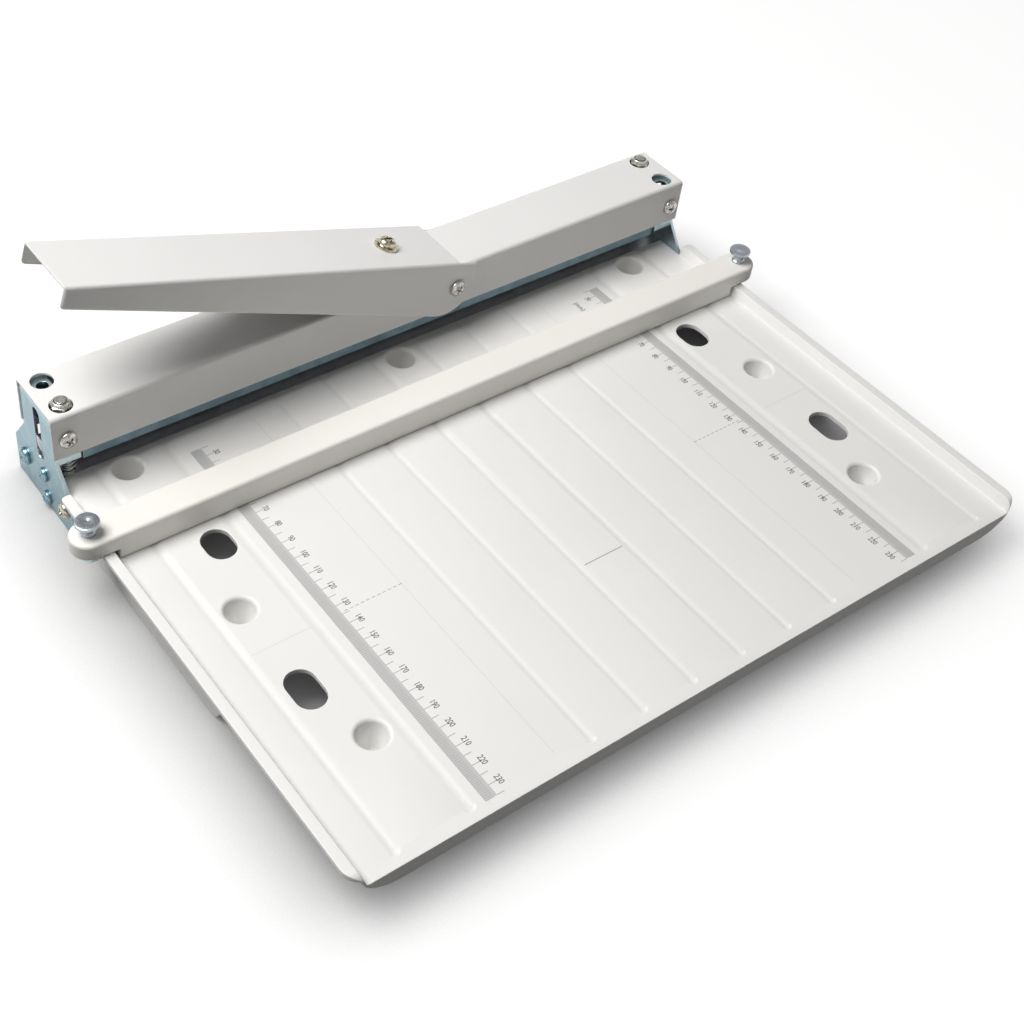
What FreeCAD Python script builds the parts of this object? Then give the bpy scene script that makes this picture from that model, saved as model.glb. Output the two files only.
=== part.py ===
import FreeCAD, Part
import math
import os
import re

import Sketcher
from FreeCAD import Placement, Rotation, Vector

# A desktop paper creasing machine.
# A moulded table carries the sheet to a press housing. A hand lever pushes a die
# carrier with a blunt blade down onto a grooved strip, and two springs lift it again.
# Frame: X runs along the crease line, Y runs from the user's side to the rear, Z is up.
# The origin lies at the middle of the machine's footprint, on the desk.
# Most bodies are drawn from the crease line at the height of the table's surface.

DOC = FreeCAD.newDocument("PaperCreasingMachine")
SHEET = DOC.addObject("Spreadsheet::Sheet", "Sizes")

X_AXIS = Vector(1, 0, 0)
Y_AXIS = Vector(0, 1, 0)
Z_AXIS = Vector(0, 0, 1)

SAME_PLACE = 1e-4                 # millimetres within which two coordinates count as one
POINTS_PER_TURN = 48              # where the gap between a coil's turns is measured


# Sizes that remember how they were worked out

class Size:
    """A number together with the sheet formula that gives it."""

    def __init__(self, value, formula):
        self.value = value
        self.formula = formula

    @staticmethod
    def of(other):
        """Take a plain number as a size."""
        if isinstance(other, Size):
            return other
        return Size(float(other), repr(float(other)))

    def joined(self, other, sign, value):
        """Join two sizes with an arithmetic sign."""
        return Size(value, f"({self.formula} {sign} {Size.of(other).formula})")

    def __add__(self, other):
        return self.joined(other, "+", self.value + Size.of(other).value)

    def __sub__(self, other):
        return self.joined(other, "-", self.value - Size.of(other).value)

    def __mul__(self, other):
        return self.joined(other, "*", self.value * Size.of(other).value)

    def __truediv__(self, other):
        return self.joined(other, "/", self.value / Size.of(other).value)

    def __rmul__(self, other):
        return Size.of(other) * self

    def __neg__(self):
        return Size(-self.value, f"(0 - {self.formula})")


def sine(angle):
    """Sine of an angle held in degrees."""
    return Size(math.sin(math.radians(angle.value)), f"sin({angle.formula})")


def cosine(angle):
    """Cosine of an angle held in degrees."""
    return Size(math.cos(math.radians(angle.value)), f"cos({angle.formula})")


class Sizes:
    """The rows of the sheet, each under its own name."""

    def __init__(self):
        self.row = 0

    def add(self, name, number):
        """Write a driving dimension, or a size that follows from others."""
        self.row += 1
        SHEET.set(f"A{self.row}", name)
        derived = isinstance(number, Size)
        SHEET.set(f"B{self.row}", "=" + number.formula if derived else str(number))
        SHEET.setAlias(f"B{self.row}", name)
        setattr(self, name, Size(Size.of(number).value, name))


# Driving dimensions in millimetres
SIZES = {
    # Whole machine
    "table_height": 21.0,         # desk to the table's surface
    "table_width": 350.0,
    "table_reach": 240.3,         # crease line to the table's front edge
    "plate_reach": 25.3,          # crease line to the end plates' front and rear feet
    "running_gap": 0.3,           # between pieces that move past each other
    "fit_gap": 0.05,              # radial play of a screw that turns in its hole
    "thread_gap": 0.03,           # radial play of a thread in its hole
    "overrun": 5.0,               # how far a cut runs past the face that it opens
    # Table board
    "board_wall": 2.4,
    "table_corner_radius": 8.0,
    "rim_height": 5.0,            # rim's top over the table's surface
    "rim_width": 4.7,
    "rim_slope": 1.6,             # run of the rim's sloping inner wall
    "rim_end_radius": 2.0,
    "rim_front_radius": 4.5,      # how the rim runs out at the front edge
    "lip_height": 2.5,            # underside of the rim's lip over the table's surface
    "lip_root": 1.2,              # where the lip's underside leaves the skirt
    "lip_knee": 4.2,              # width of the lip's flat underside
    "skirt_inset": 5.8,           # table's edge to the skirt's outer face
    "skirt_wall": 2.5,
    "skirt_front": 143.0,         # crease line to the skirt's front end
    "skirt_radius": 9.0,
    "skirt_lift": 1.0,            # skirt's lower edge over the desk
    "apron_height": 8.4,
    "apron_wall": 2.5,
    "apron_sweep": 16.0,          # run of the apron's lower corner curve
    "rib_height": 5.0,
    "rib_wall": 1.8,
    "rib_front_gap": 38.3,        # table's front edge to the last rib
    "rib_first": 64.0,            # crease line to the first rib
    "rear_margin": 0.3,           # between the board's rear edge and the base beam
    "groove_width": 5.2,
    "groove_depth": 0.6,
    "groove_pitch": 25.7,
    "groove_front_gap": 3.8,      # table's front edge to the grooves' tips
    "outer_groove_inset": 21.7,   # table's side edge to the outer grooves' middles
    "wide_groove_inset": 54.6,
    "wide_groove_width": 6.0,
    "slot_width": 13.0,
    "rear_slot_inset": 44.1,      # table's side edge to the slot's middle
    "rear_slot_shift": 11.5,      # slot's middle past the midpoint of the legs beside it
    "rear_slot_length": 17.2,
    "front_slot_inset": 33.9,
    "front_slot_shift": 7.9,
    "front_slot_length": 20.0,
    "dimple_radius": 6.7,
    "dimple_floor_radius": 4.0,
    "dimple_depth": 14.0,
    "dimple_edge_radius": 1.8,
    "leg_wall": 1.6,
    "foot_thickness": 2.5,
    "foot_radius": 6.0,
    "foot_edge": 0.6,
    "rear_leg_inset": 34.0,       # table's side edge to the leg's middle
    "rear_leg_y": 19.6,
    "middle_leg_inset": 33.4,
    "middle_leg_shift": 7.7,      # past the midpoint of the rear and front legs
    "front_leg_inset": 43.3,
    "front_leg_gap": 51.3,        # table's front edge to the front legs
    "table_boss_radius": 4.5,
    "table_boss_length": 9.0,
    # Base beam and grooved strip
    "beam_depth": 21.0,
    "beam_lift": 1.5,             # beam's underside over the desk
    "beam_end_wall": 19.4,        # beam's end to its pocket
    "beam_pocket_depth": 13.0,
    "beam_top_wall": 4.0,
    "strip_width": 8.0,
    "strip_thickness": 0.8,
    "strip_end_gap": 12.4,        # end plate to the strip's end
    "strip_groove_width": 1.3,
    "strip_groove_depth": 0.5,
    # Cover
    "cover_depth": 31.2,
    "cover_top": 37.6,            # over the table's surface
    "cover_bottom": 15.3,
    "cover_sheet": 1.2,
    "cover_bend": 1.8,
    "nut_hole_radius": 4.9,
    "press_hole_length": 10.0,
    "press_hole_width": 7.0,
    "cover_screw_height": 25.0,
    "cover_screw_inset": 6.8,     # cover's end to its screws
    # End plates
    "cover_overhang": 0.5,        # cover's end past the plate's outer face
    "plate_gap": 0.2,             # table's skirt to the plate's inner face
    "plate_sheet": 1.6,
    "plate_top": 35.0,            # over the table's surface
    "shoulder_height": 13.5,      # where the plate starts to flare
    "flare_height": 2.0,
    "flare_reach": 23.0,
    "foot_top": 0.5,              # foot's upper corner under the table's surface
    "foot_radius_plate": 3.0,
    "flange_length": 12.0,
    "flange_bottom": 11.0,
    "plate_bend": 1.5,
    "guide_width": 6.0,
    "guide_bottom": 4.6,
    "guide_top": 32.6,
    "bolt_inset": 7.8,            # plate's outer face to the bolts
    "bolt_offset": 8.5,           # crease plane to the bolts
    "bolt_hole_radius": 2.6,
    # Tie rod and screws of the end plates
    "tie_rod_radius": 4.0,
    "tie_rod_y": 16.0,
    "tie_rod_drop": 7.0,          # under the table's surface
    "upper_screw_y": 1.8,
    "upper_screw_drop": 3.4,
    "lower_screw_y": 3.0,
    "lower_screw_drop": 16.0,
    "table_screw_y": 21.0,
    "table_screw_drop": 8.0,
    # Screws, bolts and nuts
    "m4_radius": 2.0,
    "m4_head_radius": 4.0,
    "m4_head_height": 2.6,
    "m4_length": 9.0,
    "cover_screw_length": 3.0,
    "m3_radius": 1.5,
    "m3_head_radius": 3.3,
    "m3_head_height": 2.2,
    "m3_length": 9.0,
    "table_screw_radius": 1.7,
    "table_screw_head_radius": 3.6,
    "table_screw_head_height": 3.0,
    "table_screw_length": 9.0,
    "bolt_radius": 2.5,
    "bolt_head_radius": 3.5,
    "bolt_head_height": 2.4,
    "bolt_head_lift": 0.3,        # bolt's head over the table's surface
    "bolt_end": 0.5,              # bolt's end over its nut
    "nut_flats": 8.0,
    "nut_height": 3.6,
    "nut_collar_radius": 3.5,
    "nut_collar_height": 1.4,
    # Die carrier, blade bar and blade
    "travel": 4.6,                # carrier's way down from rest
    "carrier_end_gap": 11.4,      # end plate to the end of the carrier's web
    "carrier_depth": 27.0,
    "carrier_bottom": 9.0,        # over the table's surface at rest
    "carrier_top": 23.5,
    "carrier_sheet": 1.5,
    "carrier_bend": 1.5,
    "lug_reach": 10.4,
    "lug_depth": 24.6,
    "lug_hole_play": 0.3,
    "bar_end_gap": 13.4,          # end plate to the end of the bar's full height
    "bar_thickness": 5.6,
    "bar_bottom": 9.4,
    "tab_height": 6.4,
    "tab_inset": 0.2,             # tab's end behind the plate's outer face
    "bar_screw_end_gap": 16.0,    # bar's end to its outer screws
    "bar_screw_pitch": 80.0,
    "blade_end_gap": 14.4,        # end plate to the blade's end
    "blade_thickness": 0.7,
    "blade_seat": 4.0,
    "blade_bite": 0.3,            # how deep the blade's edge goes into the groove
    "blade_edge_radius": 0.3,
    "grub_radius": 1.5,
    "grub_end_gap": 15.0,         # blade's end to the outer grub screws
    "grub_height": 2.0,           # over the bar's underside
    # Return springs
    "spring_radius": 3.55,
    "wire_radius": 0.45,
    "spring_seat_gap": 0.05,
    # Lever and its pivot
    "pivot_x": 30.5,
    "pivot_height": 27.5,         # over the table's surface
    "axle_radius": 3.0,
    "axle_bore_depth": 9.0,
    "lever_width": 34.8,
    "lever_sheet": 1.2,
    "lever_bend": 1.6,
    "lever_rise": 12.9,           # lever's top over its pivot
    "lever_reach": 204.0,         # pivot to the handle's end
    "web_end": 2.3,               # pivot to the end of the lever's top
    "handle_end_depth": 10.15,
    "handle_corner_radius": 2.5,
    "nose_reach": 11.0,
    "nose_lower_radius": 16.5,
    "nose_upper_radius": 5.0,
    "rear_nose_drop": 2.8,        # the rear flange's nose under the lever's top
    "pivot_play": 0.1,            # between the lever's side and its screw's head
    "pivot_washer_radius": 4.5,
    "pivot_washer_gap": 0.05,
    "axle_screw_length": 11.2,
    "axle_screw_head_radius": 3.9,
    # Press screw
    "press_arm": 34.7,            # pivot to the screw, along the lever
    "press_head_radius": 4.2,
    "press_head_height": 3.2,
    "press_washer_radius": 5.65,
    "press_washer_height": 1.0,
    "press_washer_play": 0.2,
    "press_nut_flats": 7.0,
    "press_nut_height": 3.2,
    # Stop bar, clamps and thumbscrews
    "bar_centre": 56.0,           # crease line to the stop bar's middle at rest
    "stop_depth": 16.0,
    "stop_top": 13.0,
    "stop_edge_radius": 1.5,
    "stop_step_gap": 0.7,         # between the bar's step and the foot of the rim
    "thumb_offset": 2.4,          # table's edge to the thumbscrews' axes
    "thumb_head_radius": 5.15,
    "thumb_head_top": 19.8,
    "thumb_head_height": 1.5,
    "thumb_bevel": 0.5,
    "thumb_neck_top_radius": 4.1,
    "thumb_neck_radius": 2.5,
    "thumb_foot_radius": 3.1,
    "thumb_foot_height": 1.1,
    "clamp_thickness": 1.6,
    "clamp_margin": 3.4,          # thumbscrew's axis to the clamp plate's outer end
    "clamp_depth": 9.0,
    "clamp_corner_radius": 2.5,
    "thumb_end": 1.1,             # how far the screw stands out under the clamp
}

# How many there are
COUNTS = {
    "inner_groove_count": 3,      # on each half of the table
    "rib_count": 3,
    "grub_count": 5,
    "spring_turns": 8,
}

# Proportions
SHARES = {
    "tab_round_share": 0.96,
    "recess_length_share": 0.62,
    "recess_width_share": 0.17,
    "recess_depth_share": 0.6,
    "head_round_share": 0.72,
    "taper_share": 0.0956,
}

# Angles in degrees
ANGLES = {
    "groove_wall_angle": 70.0,    # table grooves' walls, from upright
    "lever_angle": 17.6,          # how far the lever stands open at rest
    "tie_screw_turn": 30.0,       # how far each kind of screw happens to be turned
    "upper_screw_turn": 15.0,
    "lower_screw_turn": 40.0,
    "table_screw_turn": 20.0,
    "cover_screw_turn": 52.0,
    "bar_screw_turn": 17.0,
    "pivot_screw_turn": 40.0,
    "nut_turn": 12.0,
}

D = Sizes()
for table in (SIZES, COUNTS, SHARES, ANGLES):
    for word, number in table.items():
        D.add(word, number)

# Sizes that follow from others
D.add("m4_hole", D.m4_radius + D.thread_gap)
D.add("m3_hole", D.m3_radius + D.thread_gap)
D.add("table_screw_hole", D.table_screw_radius + D.thread_gap)
D.add("turning_hole", D.m4_radius + D.fit_gap)
D.add("grub_hole", D.grub_radius + D.thread_gap)
D.add("crease_y", (D.table_reach - D.plate_reach) / 2)
D.add("table_half", D.table_width / 2)
D.add("skirt_half", D.table_half - D.skirt_inset)
D.add("rim_inner", D.table_half - D.rim_width)
D.add("board_rear", D.beam_depth / 2 + D.rear_margin)
D.add("outer_groove_x", D.table_half - D.outer_groove_inset)
D.add("wide_groove_x", D.table_half - D.wide_groove_inset)
D.add("rear_slot_x", D.table_half - D.rear_slot_inset)
D.add("front_slot_x", D.table_half - D.front_slot_inset)
D.add("rear_leg_x", D.table_half - D.rear_leg_inset)
D.add("middle_leg_x", D.table_half - D.middle_leg_inset)
D.add("front_leg_x", D.table_half - D.front_leg_inset)
D.add("plate_inner", D.skirt_half + D.plate_gap)
D.add("plate_outer", D.plate_inner + D.plate_sheet)
D.add("bolt_x", D.plate_outer - D.bolt_inset)
D.add("cover_width", 2 * (D.plate_outer + D.cover_overhang))
D.add("cover_inner", D.cover_depth / 2 - D.cover_sheet)
D.add("cover_screw_x", D.cover_width / 2 - D.cover_screw_inset)
D.add("beam_pocket_length", 2 * (D.plate_inner - D.beam_end_wall))
D.add("strip_length", 2 * (D.plate_inner - D.strip_end_gap))
D.add("carrier_length", 2 * (D.plate_inner - D.carrier_end_gap))
D.add("bar_length", 2 * (D.plate_inner - D.bar_end_gap))
D.add("bar_screw_x", D.bar_length / 2 - D.bar_screw_end_gap - D.bar_screw_pitch)
D.add("blade_length", 2 * (D.plate_inner - D.blade_end_gap))
D.add("bolt_head_top", D.bolt_head_lift + D.bolt_head_height)
D.add("web_bottom", D.carrier_top - D.carrier_sheet)
D.add("blade_edge", D.travel - D.blade_bite)
D.add("groove_front", D.table_reach - D.groove_front_gap)
D.add("front_leg_y", D.table_reach - D.front_leg_gap)
D.add("middle_leg_y", (D.rear_leg_y + D.front_leg_y) / 2 + D.middle_leg_shift)
D.add("rear_slot_y", (D.rear_leg_y + D.middle_leg_y) / 2 + D.rear_slot_shift)
D.add("front_slot_y", (D.middle_leg_y + D.front_leg_y) / 2 + D.front_slot_shift)
D.add("rib_pitch", (D.table_reach - D.rib_front_gap - D.rib_first) / (D.rib_count - 1))
D.add("grub_pitch", (D.blade_length - 2 * D.grub_end_gap) / (D.grub_count - 1))
D.add("thumb_x", D.table_half + D.thumb_offset)
D.add("clamp_outer", D.thumb_x + D.clamp_margin)
D.add("clamp_inner", D.table_half - D.lip_knee + D.running_gap)
D.add("thumb_shoulder", D.stop_top + D.fit_gap)
D.add("screw_tip_height", (
    D.carrier_top + D.running_gap + D.m4_radius - D.pivot_height
    - D.press_arm * sine(D.lever_angle)
) / cosine(D.lever_angle))
D.add("press_hole_x", (
    D.pivot_x - D.press_arm * cosine(D.lever_angle)
    + (D.cover_top - D.pivot_height - D.press_arm * sine(D.lever_angle))
    * sine(D.lever_angle) / cosine(D.lever_angle)
))

DOC.recompute()


# Small helpers for bodies, sketches and their places

def bind(thing, target, size):
    """Tie one property of an object to the sheet."""
    formula = re.sub(r"\b([a-z][a-z0-9_]*)\b(?!\()", r"Sizes.\1", Size.of(size).formula)
    thing.setExpression(target, formula)


def put(thing, x=0, y=0, z=0, turn=None):
    """Give an object its place and, if it needs one, its turn."""
    thing.Placement = Placement(Vector(), turn or Rotation())
    for letter, size in zip("xyz", (x, y, z)):
        bind(thing, f"Placement.Base.{letter}", size)


def put_on_table(thing, turn=None, x=0, y=0, z=0):
    """Place an object from the crease line at the height of the table's surface."""
    put(thing, Size.of(x), D.crease_y + y, D.table_height + z, turn)


def new_body(label):
    """Start a body."""
    body = DOC.addObject("PartDesign::Body", label)
    body.Label = label
    return body


def new_sketch(body, role, level=0):
    """Start a sketch on one of the body's own planes, lifted to a level."""
    plane = next(f for f in body.Origin.OriginFeatures if f.Role == role)
    sketch = body.newObject("Sketcher::SketchObject", body.Name + "_sketch")
    sketch.AttachmentSupport = (plane, "")
    sketch.MapMode = "FlatFace"
    if isinstance(level, Size):
        bind(sketch, "AttachmentOffset.Base.z", level)
    return sketch


def pin_point(sketch, item, point, at, axes="XY"):
    """Fix a point of a sketch to coordinates from the sheet."""
    for axis, size in zip("XY", at):
        if axis in axes:
            value = Size.of(size).value
            index = sketch.addConstraint(
                Sketcher.Constraint(f"Distance{axis}", -1, 1, item, point, value))
            if isinstance(size, Size):
                bind(sketch, f"Constraints[{index}]", size)


def flat(at, z=0):
    """The vector of a pair of sizes."""
    return Vector(Size.of(at[0]).value, Size.of(at[1]).value, z)


def draw_outline(sketch, corners):
    """Draw a closed outline. A corner with a third entry starts an arc about that centre."""
    first = sketch.GeometryCount
    count = len(corners)
    axes = ["XY"] * count
    for step, corner in enumerate(corners):
        after = (step + 1) % count
        start, end = flat(corner), flat(corners[after])
        if len(corner) == 2:
            sketch.addGeometry(Part.LineSegment(start, end))
            continue
        out, back = start - flat(corner[2]), end - flat(corner[2])
        angle = math.atan2(out.y, out.x)
        sweep = (math.atan2(back.y, back.x) - angle) % (2 * math.pi)
        circle = Part.Circle(flat(corner[2]), Z_AXIS, out.Length)
        sketch.addGeometry(Part.ArcOfCircle(circle, angle, angle + sweep))
        axes[after] = "X" if abs(back.y) > abs(back.x) else "Y"
    for step, corner in enumerate(corners):
        after = first + (step + 1) % count
        sketch.addConstraint(Sketcher.Constraint("Coincident", first + step, 2, after, 1))
        if len(corner) > 2:
            pin_point(sketch, first + step, 3, corner[2])
    for step, corner in enumerate(corners):
        pin_point(sketch, first + step, 1, corner, axes[step])


def draw_rectangle(sketch, x0, x1, y0, y1):
    """Draw a rectangle between two pairs of coordinates."""
    draw_outline(sketch, [(x0, y0), (x1, y0), (x1, y1), (x0, y1)])


def draw_circle(sketch, centre, radius):
    """Draw a circle."""
    item = sketch.addGeometry(Part.Circle(flat(centre), Z_AXIS, radius.value))
    pin_point(sketch, item, 3, centre)
    index = sketch.addConstraint(Sketcher.Constraint("Radius", item, radius.value))
    bind(sketch, f"Constraints[{index}]", radius)


def draw_obround(sketch, low, high, radius):
    """Draw a slot with round ends between two end centres on a level or upright line."""
    x0, y0 = map(Size.of, low)
    x1, y1 = map(Size.of, high)
    if x0.value == x1.value:
        draw_outline(sketch, [
            (x0 + radius, y0), (x1 + radius, y1, high), (x1 - radius, y1), (x0 - radius, y0, low)])
    else:
        draw_outline(sketch, [
            (x1, y1 + radius), (x0, y0 + radius, low), (x0, y0 - radius), (x1, y1 - radius, high)])


def feature(
        body, kind, sketch, length=None, both_ways=False, reverse=False, through=False, taper=None):
    """Pad or pocket a sketch, with sloping walls where a taper is given."""
    made = body.newObject(f"PartDesign::{kind}", f"{body.Name}_{kind.lower()}")
    made.Profile = sketch
    made.Reversed = reverse
    if through:
        made.Type = "ThroughAll"
        made.Midplane = True
    else:
        bind(made, "Length", length)
        made.Midplane = both_ways
    if taper is not None:
        bind(made, "TaperAngle", taper)
    body.Tip = made
    return made


def pad(body, sketch, length, **ways):
    """Add material over a sketch."""
    return feature(body, "Pad", sketch, length, **ways)


def pocket(body, sketch, length=None, **ways):
    """Take material out under a sketch."""
    return feature(body, "Pocket", sketch, length, **ways)


def round_edges(body, radius, wanted):
    """Round the edges of a body that a test picks out."""
    DOC.recompute()
    base = body.Tip
    names = [f"Edge{n}" for n, edge in enumerate(base.Shape.Edges, 1) if wanted(edge)]
    fillet = body.newObject("PartDesign::Fillet", f"{body.Name}_fillet")
    fillet.Base = (base, names)
    bind(fillet, "Radius", radius)
    body.Tip = fillet
    return fillet


def close(one, other):
    """Say whether two coordinates are the same place."""
    return abs(one - Size.of(other).value) < SAME_PLACE


def edge_at(x=None, y=None, z=None, along=None):
    """Make a test for straight edges by their place, in sizes without a sign."""
    def wanted(edge):
        box = edge.BoundBox
        spans = {"x": box.XLength, "y": box.YLength, "z": box.ZLength}
        middle = {"x": box.Center.x, "y": box.Center.y, "z": box.Center.z}
        if along and spans[along] < max(spans.values()):
            return False
        if along and sum(span > SAME_PLACE for span in spans.values()) != 1:
            return False
        for axis, size in (("x", x), ("y", y), ("z", z)):
            if size is None:
                continue
            if not close(abs(middle[axis]), abs(Size.of(size).value)):
                return False
            if spans[axis] > SAME_PLACE:
                return False
        return True
    return wanted


def turned(label, profile):
    """Turn an outline of radius and height pairs round the vertical axis."""
    body = new_body(label)
    sketch = new_sketch(body, "XZ_Plane")
    draw_outline(sketch, profile)
    made = body.newObject("PartDesign::Revolution", label + "_turning")
    made.Profile = sketch
    made.ReferenceAxis = (sketch, ["V_Axis"])
    made.Angle = 360
    body.Tip = made
    return body


def primitive(body, kind, place, **sizes):
    """Add or take away a cone or a sphere inside a body."""
    made = body.newObject(f"PartDesign::{kind}", f"{body.Name}_{kind.lower()}")
    for name, size in sizes.items():
        bind(made, name, size)
    for letter, size in zip("xyz", place):
        bind(made, f"Placement.Base.{letter}", size)
    body.Tip = made
    return made


def copies(label, template, places):
    """Gather copies of one template, each at its own place, into one sub-part."""
    links = []
    for x, y, z, turn in places:
        link = DOC.addObject("App::Link", f"{label}_{len(links) + 1}")
        link.LinkedObject = template
        put(link, x, y, z, turn)
        links.append(link)
    group = DOC.addObject("Part::Compound", label)
    group.Label = label
    group.Links = links
    return group


def mirrored(label, source):
    """Make the right-hand twin of a left-hand piece."""
    twin = DOC.addObject("Part::Mirroring", label)
    twin.Label = label
    twin.Source = source
    twin.Base = Vector()
    twin.Normal = X_AXIS
    return twin


def facing(direction, roll=0):
    """The turn that points a screw's head in a direction, after a roll on its own axis."""
    return Rotation(Z_AXIS, direction) * Rotation(Z_AXIS, roll)


# Fasteners

def pan_screw(label, radius, length, head_radius, head_height):
    """A pan-head screw with a cross recess. Its head's bearing face is at zero, head up."""
    body = turned(label, [
        (0, -length), (radius, -length), (radius, 0), (head_radius, 0),
        (head_radius, head_height), (0, head_height),
    ])
    round_edges(body, head_height * D.head_round_share, lambda edge: (
        close(edge.BoundBox.ZMin, head_height) and close(edge.BoundBox.XMax, head_radius)))
    arm = head_radius * D.recess_length_share
    half = head_radius * D.recess_width_share
    sketch = new_sketch(body, "XY_Plane", head_height)
    draw_outline(sketch, [
        (-arm, -half), (-half, -half), (-half, -arm), (half, -arm), (half, -half), (arm, -half),
        (arm, half), (half, half), (half, arm), (-half, arm), (-half, half), (-arm, half),
    ])
    pocket(body, sketch, head_height * D.recess_depth_share)
    return body


def hex_nut(label, flats, height, bore, collar_radius=None, collar_height=None):
    """A hexagon nut on its lower face, with a locking collar if it has one."""
    body = new_body(label)
    apothem = flats / 2
    corner = flats * (1 / math.sqrt(3))
    sketch = new_sketch(body, "XY_Plane")
    draw_outline(sketch, [
        (corner, 0), (corner / 2, apothem), (-corner / 2, apothem),
        (-corner, 0), (-corner / 2, -apothem), (corner / 2, -apothem),
    ])
    pad(body, sketch, height)
    top = height
    if collar_radius:
        sketch = new_sketch(body, "XY_Plane", height)
        draw_circle(sketch, (0, 0), collar_radius)
        pad(body, sketch, collar_height)
        top = height + collar_height
    sketch = new_sketch(body, "XY_Plane", top)
    draw_circle(sketch, (0, 0), bore)
    pocket(body, sketch, top + D.overrun)
    return body


# Table board

LEG_PLACES = [
    (-D.rear_leg_x, -D.rear_leg_y), (Size.of(0), -D.rear_leg_y), (D.rear_leg_x, -D.rear_leg_y),
    (-D.middle_leg_x, -D.middle_leg_y), (D.middle_leg_x, -D.middle_leg_y),
    (-D.front_leg_x, -D.front_leg_y), (D.front_leg_x, -D.front_leg_y),
]


def slot_ends(x, y, length):
    """The two end centres of a lengthwise slot through the table."""
    half = (length - D.slot_width) / 2
    return (x, -y - half), (x, -y + half)


def table_slots():
    """The end centres of the four slots."""
    pairs = []
    for side in (-1, 1):
        pairs.append(slot_ends(side * D.rear_slot_x, D.rear_slot_y, D.rear_slot_length))
        pairs.append(slot_ends(side * D.front_slot_x, D.front_slot_y, D.front_slot_length))
    return pairs


def draw_groove(sketch, x, width):
    """Draw one table groove, open at the rear and round at its front tip."""
    half = width / 2
    tip = -D.groove_front + half
    rear = -D.board_rear + D.overrun
    draw_outline(sketch, [
        (x + half, tip), (x + half, rear), (x - half, rear), (x - half, tip, (x, tip))])


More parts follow.
